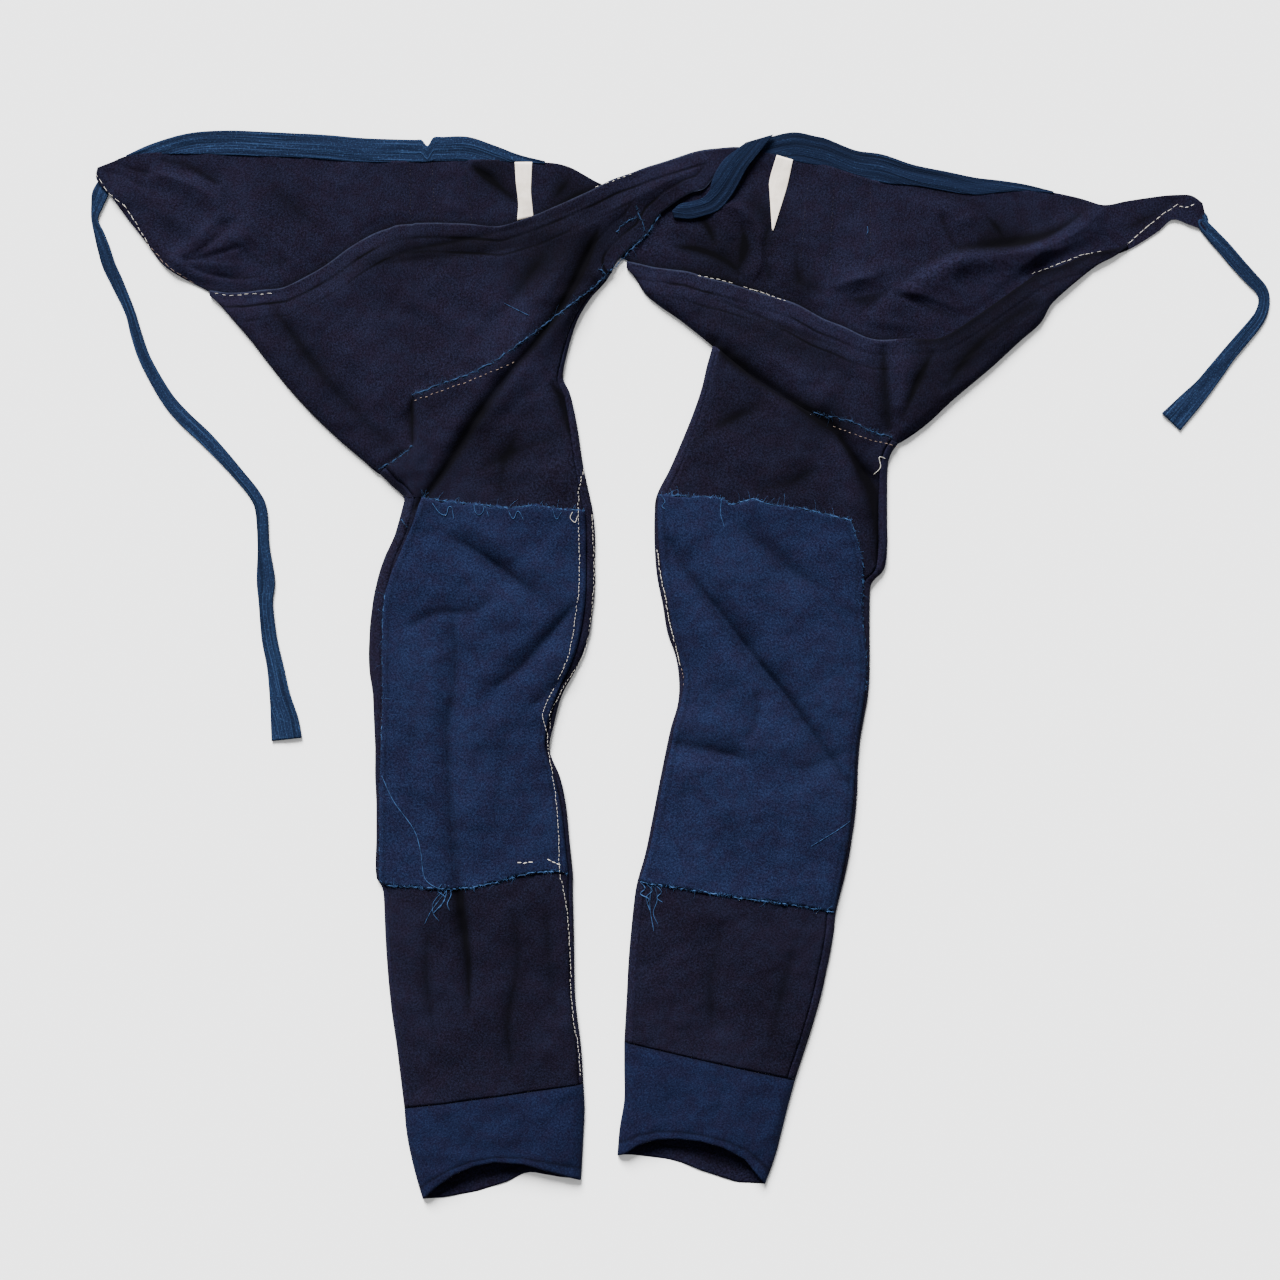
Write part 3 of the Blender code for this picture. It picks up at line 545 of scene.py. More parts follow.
LEFT_BACK_CREASES = (
    # height, width on the left of the line, on the right, points along it
    (2.6, 9, 9, ((-511, 445), (-500, 426), (-492, 412), (-478, 390))),
    (-1.4, 3, 3, ((-494, 424), (-476, 419), (-456, 408))),
    (-1.1, 3, 3, ((-487, 431), (-464, 424), (-443, 421))),
    (4.3, 4, 9, ((-456, 424), (-428, 415), (-402, 402), (-388, 381))),
    (-2.2, 5, 4, ((-447, 434), (-423, 429), (-394, 412))),
    (-1.9, 2.2, 3, ((-382, 381), (-401, 363), (-425, 347))),
    (2.2, 9, 5, ((-394, 388), (-409, 369), (-432, 352))),
    (-2.2, 1.8, 2.4, ((-428, 352), (-416, 340), (-390, 333), (-359, 334))),
    (1.7, 5, 5, ((-420, 345), (-397, 343), (-373, 343))),
    (1.9, 5, 8, ((-421, 336), (-401, 328), (-370, 328), (-341, 333))),
    (-1.7, 2, 2, ((-427, 347), (-406, 350), (-375, 360))),
    (2.3, 6, 8, ((-483, 410), (-456, 369), (-427, 341), (-399, 326))),
    (1.7, 8, 8, ((-389, 395), (-363, 362), (-341, 331))),
    (-1.6, 7, 7, ((-378, 357), (-359, 347), (-335, 347))),
    (-1.1, 10, 10, ((-359, 421), (-335, 396), (-301, 372))),
    (1, 12, 12, ((-301, 426), (-284, 400), (-275, 370))),
    (-0.8, 1.8, 1.8, ((-232, 433), (-232, 381))),
    (-1, 1.6, 1.6, ((-213, 433), (-212, 408), (-210, 379))),
    (-1.1, 1.6, 1.6, ((-185, 433), (-182, 408), (-178, 380))),
    (1.1, 5, 5, ((-198, 431), (-196, 381))),
    (-1.6, 6, 6, ((-93, 422), (-103, 408), (-114, 395))),
    (-2.2, 2.4, 6, ((-179, 429), (-165, 419), (-150, 407), (-138, 396))),
)

RIGHT_BACK_CREASES = (
    # height, width on the left of the line, on the right, points along it
    (-2.8, 2.6, 3, ((224, 389), (230, 372), (242, 352))),
    (1.4, 6, 6, ((243, 386), (249, 369), (256, 357))),
    (-2.2, 2.6, 2.8, ((262, 386), (271, 378), (279, 366))),
    (-1, 1.6, 1.6, ((132, 414), (131, 383), (127, 328))),
    (-1.1, 1.6, 1.6, ((163, 419), (163, 374), (163, 336))),
    (2.8, 3, 5, ((132, 324), (146, 330), (172, 335))),
    (-2.6, 4, 4, ((-7, 360), (17, 357), (40, 347), (53, 335))),
    (3.8, 4, 7, ((31, 396), (53, 390), (69, 369), (69, 347), (62, 328))),
    (-2.9, 5, 3, ((53, 381), (55, 360), (50, 340))),
    (-2.6, 3, 3, ((76, 378), (72, 355), (79, 328))),
    (1.7, 5, 5, ((84, 374), (86, 348), (91, 328))),
    (-2.6, 4, 4, ((3, 393), (21, 381), (31, 360))),
    (1.9, 5, 5, ((17, 395), (36, 383), (46, 366))),
    (-1.4, 5, 5, ((103, 362), (100, 347), (103, 326))),
    (-1, 8, 8, ((172, 417), (224, 407), (275, 387))),
    (-3.5, 3, 3.4, ((184, 319), (210, 310), (242, 297))),
    (1.9, 4, 5, ((189, 322), (215, 316), (243, 304))),
    (-3.2, 3, 6, ((143, 314), (165, 316), (183, 324))),
    (1.7, 4, 8, ((157, 304), (172, 295), (198, 288))),
    (1.9, 3, 22, (
        (187, 317), (200, 328), (222, 341), (245, 349), (275, 352), (310, 357),
        (340, 371), (365, 392),
    )),
    (-3.2, 9, 3.5, ((191, 328), (215, 347), (249, 359), (304, 365), (332, 378), (354, 396))),
    (-1.7, 6, 6, ((378, 372), (404, 386), (430, 402))),
)

# The knee patches, by the lines along their four edges.
LEFT_PATCH_TOP = (
    (-221, 143), (-193.5, 139.3), (-160.8, 135.9), (-144.5, 134.2), (-124.7, 136.7),
    (-103.2, 133.6), (-82, 132.4),
)
LEFT_PATCH_BOTTOM = (
    (-257.5, -184), (-250, -188.5), (-223.6, -190.1), (-193.5, -191.3), (-160.8, -186.6),
    (-134.2, -178.9), (-104.9, -176.3), (-96.5, -178.5),
)
LEFT_PATCH_LEFT = (
    (-221, 143), (-229.5, 120), (-239, 98), (-247, 79), (-252.5, 60), (-254.5, 40), (-255, 10),
    (-254.5, -30), (-256, -70), (-257, -120), (-257.5, -184),
)
LEFT_PATCH_RIGHT = (
    (-82, 132.4), (-81, 112), (-81, 68), (-83, 44), (-88, 18), (-97, -6), (-107, -28),
    (-114, -52), (-116, -72), (-109, -95), (-103, -119), (-99.5, -149), (-96.5, -178.5),
)
RIGHT_PATCH_TOP = (
    (-18.5, 146), (10.3, 144.5), (34.4, 142.8), (43.9, 137.6), (61.1, 141.9), (76.5, 137.6),
    (106.6, 133.3), (123.8, 129), (145.3, 123.8),
)
RIGHT_PATCH_BOTTOM = (
    (-34, -185.8), (-3.4, -190.1), (30.1, -195.2), (62.8, -200.4), (95.5, -204.7),
    (131.5, -211.6),
)
RIGHT_PATCH_LEFT = (
    (-18.5, 146), (-18.8, 125), (-17.6, 99), (-14.2, 74), (-9.6, 50), (-5, 25), (0.6, 4),
    (3.6, -12), (1, -33), (-5, -56), (-10, -80), (-15, -104), (-21, -135), (-27, -163), (-34, -185.8),
)
RIGHT_PATCH_RIGHT = (
    (145.3, 123.8), (147.9, 116.1), (154.8, 95.5), (156.5, 79.1), (155.7, 44.7), (158.5, 18.1),
    (159.5, 0), (158, -21.5), (155, -42), (151.5, -64), (149.5, -86), (148, -114), (144, -147),
    (138, -181), (131.5, -211.6),
)

# How far a hem lies above the line between its corners, at shares of that line.
LEFT_HEM_FRONT = (
    (0, 0), (0.1, 10.5), (0.22, 19.5), (0.35, 24.5), (0.48, 26), (0.66, 21), (0.84, 10), (1, 0),
)
LEFT_HEM_BACK = ((0, 0), (0.13, -1), (0.34, 0.5), (0.55, 6), (0.64, 11), (0.7, 11.5), (0.87, 4), (1, 0))
RIGHT_HEM_FRONT = (
    (0, 0), (0.05, 3.5), (0.12, 13), (0.23, 21), (0.37, 25.5), (0.52, 27.5), (0.67, 26),
    (0.83, 19), (0.93, 8), (1, 0),
)
RIGHT_HEM_BACK = ((0, 0), (0.1, 2.5), (0.33, 4.6), (0.43, 4), (0.58, 0.3), (0.82, -3.5), (1, 0))

# Sewing on the leg backs, hip backs and fronts of each half, and where it runs:
# cloth it lies on, thread, pitch, stitch length, thickness, points along it.
LEFT_SEWING = (
    ("front", "cream", 3.4, 2.9, 0.34, (
        (-83.4, 167.7), (-86.9, 146.2), (-87.2, 126.4), (-86.3, 76.5), (-89.4, 43.9),
        (-94.9, 11.2), (-104.9, -13.8), (-115.2, -33.5), (-117.8, -43.9), (-113.9, -58.5),
        (-113.5, -69.7), (-110.1, -89.4), (-106.6, -112.7), (-104.1, -145.3), (-103.2, -178),
        (-100.6, -188.3), (-96.3, -215.9), (-94.2, -252), (-93.3, -282.1), (-91.2, -306.2),
        (-87.7, -325.1), (-85.5, -350.9),
    )),
    ("front", "cream", 3.4, 2.9, 0.32, (
        (-75.5, 128.1), (-73.8, 76.5), (-77.3, 34.4), (-84.1, 6), (-96, -12), (-106, -30),
        (-111.4, -41.3), (-111, -53.3),
    )),
    ("front", "tan", 5.2, 2.6, 0.5, (
        (-226.2, 226.2), (-206.4, 233.1), (-180.6, 242.5), (-154.8, 252.8), (-142.8, 258),
    )),
    ("front", "cream", 7.0, 4.2, 0.6, ((-137, -168.6), (-128, -168.6))),
    ("front", "cream", 7.0, 4.2, 0.6, ((-112, -166.8), (-104, -170.3))),
    ("hip", "cream", 5.5, 2.6, 0.5, ((-71.4, 410.2), (-55.9, 416.2), (-43, 420.5))),
    ("back", "cream", 7.5, 5.6, 0.34, ((-501, 421), (-491, 406), (-477, 394))),
    ("back", "cream", 6.2, 5.2, 0.42, ((-476, 393), (-463.5, 373.5), (-456, 360))),
    ("back", "tan", 7.0, 5.2, 0.34, ((-457, 361), (-438, 341.5), (-420, 329))),
    ("hip", "cream", 7.0, 4.2, 0.3, ((-398, 319), (-385, 317.5), (-366, 318.5), (-352, 319))),
    ("back", "dull", 3.2, 1.7, 0.26, ((-232, 431), (-232, 384))),
    ("back", "dull", 3.2, 1.7, 0.26, ((-213, 431), (-211, 384))),
    ("back", "dull", 3.4, 1.6, 0.24, ((-185, 431), (-179, 384))),
)
RIGHT_SEWING = (
    ("hip", "cream", 6.0, 3.6, 0.32, ((17.2, 334.2), (30, 331.5), (43, 328))),
    ("hip", "cream", 5.2, 4.4, 0.34, ((56, 323.5), (68.8, 320), (90, 312.5))),
    ("back", "cream", 5.4, 4.8, 0.36, (
        (304.4, 337), (325.9, 345), (350, 353.4), (372, 356.5), (382, 358.5),
    )),
    ("back", "cream", 6.6, 6.0, 0.4, ((383, 360), (402.5, 377.5), (414, 387), (425.7, 394.3))),
    ("back", "cream", 4.8, 4.4, 0.44, ((431, 394), (436, 393.2), (440, 395))),
    ("back", "dull", 3.2, 1.7, 0.26, ((132.4, 414), (130.7, 383), (127.3, 328))),
    ("back", "dull", 3.2, 1.7, 0.28, ((163.4, 412), (163.4, 374), (162.5, 338))),
    ("back", "dull", 3.4, 1.6, 0.24, ((110, 416), (107, 384), (104, 350))),
    ("front", "tan", 5.0, 2.8, 0.5, ((132.4, 203.8), (158.2, 194.4), (185.8, 187.5))),
    ("rim", "cream", 3.0, 2.9, 0.5, (
        (-19.6, 97.5), (-16.8, 77.7), (-12, 55), (-9.6, 37.8), (-6, 25.1), (-2.2, 8.9), (-0.6, 0.9),
    )),
    ("rim", "tan", 3.4, 2.2, 0.5, ((1.4, -4), (3.2, -9), (2.8, -17))),
)

# Raw edges that fray into a light blue cord: cloth, cord radius, points along it.
LEFT_FRAYS = (
    ("front", 0.7, (
        (-229.1, 230.9), (-211.6, 237.4), (-183.2, 247.7), (-155.7, 261.4), (-127.3, 282.1),
        (-103.2, 301), (-78.5, 320.5), (-65, 333),
    )),
    ("front", 0.6, ((-65, 333), (-52.5, 345), (-40.5, 358.5), (-30.1, 368.1), (-17.2, 387))),
    ("front", 0.6, ((-37.8, 393.9), (-33, 381), (-30.1, 373.2))),
    ("front", 0.6, ((-55, 371.5), (-47, 379), (-37.8, 384.4))),
    ("front", 0.55, ((-70.5, 339.7), (-67, 338), (-63.6, 334.5))),
    ("front", 0.6, ((-258.5, 167.7), (-247.7, 173.7), (-238, 180), (-229.1, 187.5))),
    ("front", 0.5, ((-239.1, 124.7), (-236, 121), (-233.9, 117.8))),
    ("rim", 0.38, LEFT_PATCH_TOP),
    ("rim", 0.5, LEFT_PATCH_BOTTOM),
    ("rim", 0.34, LEFT_PATCH_LEFT[4:]),
)
RIGHT_FRAYS = (
    ("front", 0.7, (
        (114.4, 216.5), (124.7, 212.6), (130.7, 212.4), (147.1, 208.1), (158.2, 202.1),
        (170, 198.2), (181.5, 195.2),
    )),
    ("rim", 0.45, RIGHT_PATCH_TOP),
    ("rim", 0.5, RIGHT_PATCH_BOTTOM),
    ("rim", 0.36, RIGHT_PATCH_RIGHT[:8]),
)

# Loose threads: cloth, colour, radius, points along it.
LEFT_THREADS = (
    ("patch", "fray", 0.26, (
        (-255.4, -94.6), (-245.1, -116.1), (-227.9, -140.2), (-221.9, -159.1), (-217.6, -183.2),
        (-200.4, -193.5),
    )),
    ("front", "fray", 0.24, ((-200.4, -193.5), (-209, -204.7), (-214, -212), (-218.4, -221))),
    ("front", "fray", 0.22, ((-204, -194), (-211, -203), (-211, -212), (-206, -219))),
    ("hip", "fray", 0.2, ((-150.5, 309.6), (-139.3, 303.6), (-129, 298.4))),
    ("patch", "fray", 0.26, (
        (-211.6, 138), (-205.5, 129.9), (-200, 128.5), (-197.8, 135), (-195, 134), (-193.5, 124.7),
    )),
    ("patch", "fray", 0.24, (
        (-176.3, 137.6), (-175, 131), (-172, 128.1), (-168.5, 131), (-166.8, 135.9),
        (-163.4, 126.4),
    )),
    ("patch", "fray", 0.26, ((-147.9, 134), (-142.8, 125), (-138.5, 131.6), (-133.3, 123))),
    ("patch", "fray", 0.22, ((-109.2, 133.3), (-105.8, 124.7), (-101.5, 130.7))),
    ("patch", "cream", 0.2, ((-92, 131), (-94, 126), (-90, 122), (-88, 127))),
    ("front", "fray", 0.36, ((-201, -187), (-200, -195), (-203, -203), (-211, -212))),
    ("front", "fray", 0.32, ((-198, -188), (-196, -196), (-199, -204), (-197, -210))),
    ("front", "fray", 0.3, ((-204, -187), (-207, -193), (-201, -199), (-206, -208))),
)
RIGHT_THREADS = (
    ("patch", "fray", 0.24, ((35.3, 141.9), (34.4, 129.9), (37.8, 117.8))),
    ("patch", "fray", 0.24, ((-17, 146.2), (-13, 140.2), (-15.5, 135.9), (-12, 133))),
    ("front", "fray", 0.24, ((-24.5, -187.2), (-26, -206.4), (-22.5, -227.9))),
    ("front", "fray", 0.22, ((-22, -188), (-19.5, -200), (-23, -212), (-19, -222))),
    ("front", "fray", 0.36, ((-34, -186), (-30, -191), (-34, -196), (-27, -200), (-29, -205))),
    ("front", "fray", 0.32, ((-29, -187), (-24, -193), (-29, -199), (-26, -210))),
    ("front", "fray", 0.3, ((-20, -189), (-16, -194), (-20, -199), (-15, -203))),
    ("patch", "fray", 0.2, ((147.1, -132.4), (133.3, -141.9), (111.8, -154.8))),
    ("front", "cream", 0.24, ((166, 163.4), (171.5, 169.4), (170.5, 178), (176, 177))),
    ("back", "cream", 0.2, ((48, 441), (52, 438), (55, 440.5))),
    ("back", "fray", 0.22, ((160.8, 377), (161.5, 373), (160, 369))),
)

# Painted light and shade, where the cloth lies lit or in shade: strength of the painted light,
# and of the painted shade below zero, widths on the left and on the right of a line, and points
# along it.
LEFT_FRONT_PAINTED_LIGHT = (
    (0.3, 16, 20, ((-206, 268), (-186, 284), (-160, 300), (-141, 322))),
    (0.22, 14, 14, ((-172, 228), (-146, 246), (-124, 270))),
    (-0.4, 14, 5, ((-310, 330), (-268, 342), (-224, 352), (-160, 360), (-100, 372))),
    (-0.5, 22, 26, ((-165, 318), (-125, 340), (-80, 364), (-40, 388), (8, 410))),
)
RIGHT_FRONT_PAINTED_LIGHT = (
    (0.5, 7, 8, ((30, 324), (60, 314), (100, 298), (140, 283), (176, 274))),
    (-0.5, 12, 20, ((10, 306), (60, 290), (100, 275), (150, 256))),
    (-0.45, 16, 10, ((96, 226), (124, 206), (150, 198))),
    (0.25, 12, 12, ((60, 262), (100, 240), (128, 222))),
)
LEFT_BACK_PAINTED_LIGHT = (
    (-0.6, 14, 2.5, ((-182, 431), (-160, 415), (-141, 399))),
    (-0.45, 12, 12, ((-107, 418), (-92, 408), (-80, 396))),
    (0.25, 16, 16, ((-340, 418), (-300, 412), (-250, 408))),
    (0.22, 12, 12, ((-222, 420), (-205, 400), (-190, 392))),
    (-0.35, 16, 16, ((-430, 412), (-440, 390), (-428, 366))),
)
RIGHT_BACK_PAINTED_LIGHT = (
    (-0.62, 19, 2.5, ((240, 348), (265, 352), (301, 356), (344, 377.5), (372, 391))),
    (0.5, 2.5, 22, ((186, 321), (223, 343), (265, 351.5), (301, 356), (344, 377), (370, 389))),
    (-0.36, 32, 36, ((-14, 368), (24, 358), (60, 350), (100, 344))),
    (-0.45, 12, 8, ((57, 402), (78, 380), (72, 352))),
    (0.25, 18, 18, ((150, 392), (200, 380), (240, 372))),
    (-0.5, 10, 10, ((86, 330), (112, 326), (128, 322))),
)

# Names of the finishes, one material each.
FINISHES = (
    "dark_indigo", "patch_indigo", "cuff_indigo", "band_blue", "tape_cream", "cream", "tan", "dull",
    "fray", "seam_fray", "patch",
)
VIOLET, VIOLET_SHARE = (1.0, 0.6, 0.62), 0.6

# Pale above 0 and dark below: what creases add, with the heights that count. Pale ridges are
# worn with a painted highlight; the floor of a trough, taken from narrowed creases, is painted
# shade. FOLD_SHARE does the same for the back's folds.
RIDGE_SHARE, RIDGE_HEIGHTS = 0.18, (-2.2, 1.2)
TROUGH_SHARE, TROUGH_HEIGHTS, TROUGH_NARROWED = 0.33, (-1.8, 0.0), 0.4
FOLD_SHARE = 0.3

# What sides and edges add: strength, then the middle and width of a bell across them. Sides
# are worn pale with a painted highlight, the lip gets a painted highlight, the lapped and edge
# shades are painted shade, and the lapped rim is painted light.
SIDE_PALENESS, SIDE_BELL = 0.3, (1.4, 2.4)
LIP_HIGHLIGHT, LIP_BELL = 0.22, (4.5, 4.5)
LAPPED_SHADE, LAPPED_EDGE_SHADE, LAPPED_EDGE_WIDTH = 0.42, 0.8, 5.0
EDGE_SHADE, EDGE_SHADE_BELL = 0.85, (0.0, 5.0)
LAPPED_RIM, LAPPED_RIM_BELL = 0.3, (0.0, 9.0)
# Share of the front's worn pale, painted highlights and painted shade that a patch takes; its pale frayed rim,
# and a dark line inside its sides.
PATCH_WEAR_AND_LIGHT_SHARE, PATCH_RIM, PATCH_SIDE_LINE = 0.35, 0.5, 0.5
# Cuff marks, strength then middle and width of a bell from the hem: pale at the hem's edge, dark along the
# sewn hem line and the seam to the leg.
CUFF_EDGE_MARKS = ((0.25, 0.0, 1.5), (-0.8, CUFF_HEM, 1.2), (-0.8, CUFF_LENGTH, 1.6))
# Strength of the painted light and shade from the tables.
PAINTED_LIGHT_STRENGTH = 1.6
HIP_DARKNESS, LEG_DARKNESS = 0.13, 0.32
# Colour and strength of the painted highlight along a hemmed free edge.
RIM_HIGHLIGHT_COLOUR, RIM_HIGHLIGHT = (0.03, 0.038, 0.065), 0.42

# Weaves in threads a metre, colours of yarn and soil, and the painted shade lines in the hem's groove and
# pressed line.
INDIGO_THREADS, BAND_THREADS = 1500.0, 1100.0
PATCH_YARN, PATCH_YARN_SHARE = (0.2, 0.335, 0.84), 0.032
DARK_YARN, DARK_YARN_SHARE = (0.36, 0.41, 1.0), 0.0175
SOIL, THREAD_SOIL = (0.3, 0.24, 0.19), (0.2, 0.18, 0.17)
TAN, DARK_TAN, DULL = (0.2, 0.15, 0.12), (0.07, 0.05, 0.045), (0.035, 0.03, 0.034)
# The near black that painted shade, even darkness and other dark marks mix toward, and how much of the layer
# below zero goes to it.
DARKEST = (0.0008, 0.0007, 0.0015)
DARK_LAYER_SHARE = 0.75
HEM_SHADE_LINES = ((HEM_WIDTH, 0.75), (SECOND_LINE, 0.45))
NO_HEM = 99.0

# The stage, in metres: floor, camera, and the way to the light.
FLOOR_SIZE, FLOOR_HEIGHT = 12.0, -0.0003
VIEW_CENTRE, VIEW_WIDTH, SENSOR = (-0.0344, 0.0215), 1.1008, 36.0
LIGHT_FROM = (-0.3, 1.0, 0.68)


def smooth_step(value, low, high):
    """0 below low, 1 above high, and an S-shaped rise between them."""
    share = np.clip((value - low) / (high - low), 0.0, 1.0)
    return share * share * (3.0 - 2.0 * share)


def smooth_bell(value, middle, width):
    """1 at the middle, and less by the exponential of minus the square of the distance."""
    return np.exp(-(((value - middle) / width) ** 2))


def unit(vectors):
    """The same vectors, each of length 1."""
    return vectors / np.linalg.norm(vectors, axis=-1, keepdims=True)


def smooth_rows(rows, parts):
    """Rows with parts - 1 more between each pair, on the Catmull-Rom curve through them all."""
    rows = np.array(rows, float)
    ends = np.concatenate([2 * rows[:1] - rows[1:2], rows, 2 * rows[-1:] - rows[-2:-1]])
    before, start, end, after = (a[:, None] for a in (ends[:-3], ends[1:-2], ends[2:-1], ends[3:]))
    t = (np.arange(parts) / parts).reshape((1, parts) + (1,) * (rows.ndim - 1))
    curve = 0.5 * (
        2.0 * start
        + (end - before) * t
        + (2.0 * before - 5.0 * start + 4.0 * end - after) * t**2
        + (3.0 * start - before - 3.0 * end + after) * t**3
    )
    return np.concatenate([curve.reshape((-1,) + rows.shape[1:]), rows[-1:]])


def even_rows(rows, step, plan_columns=None):
    """Rows a step apart along a smooth curve through the given ones, by their mean length.

    The length between two rows is the mean distance of the columns that hold plan points.
    """
    dense = smooth_rows(rows, 12)
    points = dense if plan_columns is None else dense[:, plan_columns]
    points = points.reshape(len(dense), -1, 2)
    lengths = np.linalg.norm(np.diff(points, axis=0), axis=-1).mean(axis=1)
    reached = np.concatenate([[0.0], np.cumsum(lengths)])
    at = np.linspace(0.0, reached[-1], max(2, int(np.ceil(reached[-1] / step)) + 1))
    index = np.clip(np.searchsorted(reached, at, side="right") - 1, 0, len(lengths) - 1)
    share = (at - reached[index]) / lengths[index]
    share = share.reshape((-1,) + (1,) * (dense.ndim - 1))
    return dense[index] * (1.0 - share) + dense[index + 1] * share


def fine_grid(plan, step):
    """A plan grid with points a step apart: even rows first one way, then the other."""
    plan = even_rows(plan, step)
    return np.swapaxes(even_rows(np.swapaxes(plan, 0, 1), step), 0, 1)


def nearest_on_line(line, x, y):
    """Plan distance to a line of straight runs, the side (1 is left), and the share along it."""
    start, run = line[:-1], np.diff(line, axis=0)
    length = np.hypot(run[:, 0], run[:, 1])
    reached = np.concatenate([[0.0], np.cumsum(length)[:-1]])
    from_x = x[..., None] - start[:, 0]
    from_y = y[..., None] - start[:, 1]
    share = np.clip((from_x * run[:, 0] + from_y * run[:, 1]) / length**2, 0.0, 1.0)
    away = np.hypot(from_x - share * run[:, 0], from_y - share * run[:, 1])
    best = away.argmin(axis=-1)[..., None]
    side = np.sign(run[:, 0] * from_y - run[:, 1] * from_x)
    along = (reached + share * length) / length.sum()
    pick = [np.take_along_axis(a, best, axis=-1)[..., 0] for a in (away, side, along)]
    return pick[0], pick[1], pick[2]


def distance_to_line(line, x, y):
    """Shortest plan distance from each point to a line of straight runs."""
    return nearest_on_line(line, x, y)[0]


def fold_relief(folds, x, y):
    """Height that the solid's ridges and troughs add, each a bell across its run."""
    total = np.zeros_like(x)
    for x0, y0, x1, y1, height, left_width, right_width in folds:
        length = np.hypot(x1 - x0, y1 - y0)
        along_x, along_y = (x1 - x0) / length, (y1 - y0) / length
        along = (x - x0) * along_x + (y - y0) * along_y
        across_run = along_x * (y - y0) - along_y * (x - x0)
        width = np.where(across_run > 0.0, left_width, right_width)
        past_end = np.maximum(0.0, np.maximum(-along, along - length))
        total += height * np.exp(-((across_run / width) ** 2) - (past_end / right_width) ** 2)
    return total


def crease_relief(creases, x, y, narrowed=1.0):
    """Soft ridges and troughs: a blunt peak across a smooth line, from nothing at its ends.

    Across, the height is the exponential of minus t squared over 0.35 + t, where t is the
    distance in widths. Along, it goes with the square root of a half sine, times a slow wave,
    so that no crease is even in depth. narrowed multiplies every width.
    """
    total = np.zeros_like(x)
    for number, (height, left_width, right_width, points) in enumerate(creases):
        away, side, along = nearest_on_line(smooth_rows(points, 5), x, y)
        width = np.where(side > 0.0, left_width, right_width)
        width = width * (0.8 + 0.35 * np.sin(np.pi * along) + 0.1 * np.sin(11.0 * along + number))
        swell = np.sqrt(np.maximum(0.0, np.sin(np.pi * along)))
        swell = swell * (1.0 + 0.25 * np.sin(7.0 * along + 2.1 * number))
        t = away / (width * narrowed)
        total += height * swell * np.exp(-(t**2) / (0.35 + t))
    return total


def rumple(x, y, seed, shortest=11.0, longest=90.0):
    """Low uneven waves, about 1 high: sines of many lengths and directions, bent by each other.

    Each wave's height goes with the 0.9th power of its length.
    """
    chance = np.random.default_rng(seed)
    bent_x = x + 7.0 * np.sin(y / 31.0 + seed) + 3.0 * np.sin(x / 13.0 + y / 17.0)
    bent_y = y + 7.0 * np.sin(x / 37.0 + 2.0 * seed) + 3.0 * np.sin(x / 19.0 - y / 11.0)
    total, power = np.zeros_like(x), 0.0
    for length in np.geomspace(shortest, longest, 14):
        angle, phase = chance.uniform(0.0, np.pi), chance.uniform(0.0, 2.0 * np.pi)
        height = length**0.9
        turn = 2.0 * np.pi / length
        total += height * np.sin(turn * (bent_x * np.cos(angle) + bent_y * np.sin(angle)) + phase)
        power += 0.5 * height**2
    return total / np.sqrt(power)


def as_half(leg, cuff, hip_front, hip_back, folds, back_folds, mouth, mirror, extra):
    """The tables of one half as arrays, with its folded sides and its free edge as lines."""
    leg, cuff = np.array(leg, float), np.array(cuff, float)
    edge = np.array([row[:2] for row in hip_front], float)
    lower = np.array([row[2:4] for row in hip_front], float)
    kinds = np.array([row[4] for row in hip_front])
    seam = np.flatnonzero(kinds == SEAM)
    before = lower[: seam[0]]
    after = lower[seam[-1] + 1 :]
    left_leg_side = np.concatenate([leg[1:, :2], cuff[1:, :2]])
    right_leg_side = np.concatenate([leg[1:, 2:4], cuff[1:, 2:4]])
    if mirror:
        right_side = np.concatenate([after[::-1], right_leg_side])
        free_edge = edge
    else:
        right_side = np.concatenate([leg[:1, 2:4], right_leg_side])
        free_edge = np.concatenate([edge, after[::-1]])
    return {
        "leg": leg,
        "cuff": cuff,
        "edge": edge,
        "lower": lower,
        "kinds": kinds,
        "seam": lower[seam],
        "hip_back": np.array(hip_back, float),
        "folds": folds,
        "back_folds": back_folds,
        "mouth": mouth,
        "sides": [np.concatenate([before, left_leg_side]), right_side],
        "free_edge": free_edge,
        "strip": not mirror,
        **extra,
    }


def side_distance(half, x, y):
    return np.minimum(*[distance_to_line(line, x, y) for line in half["sides"]])


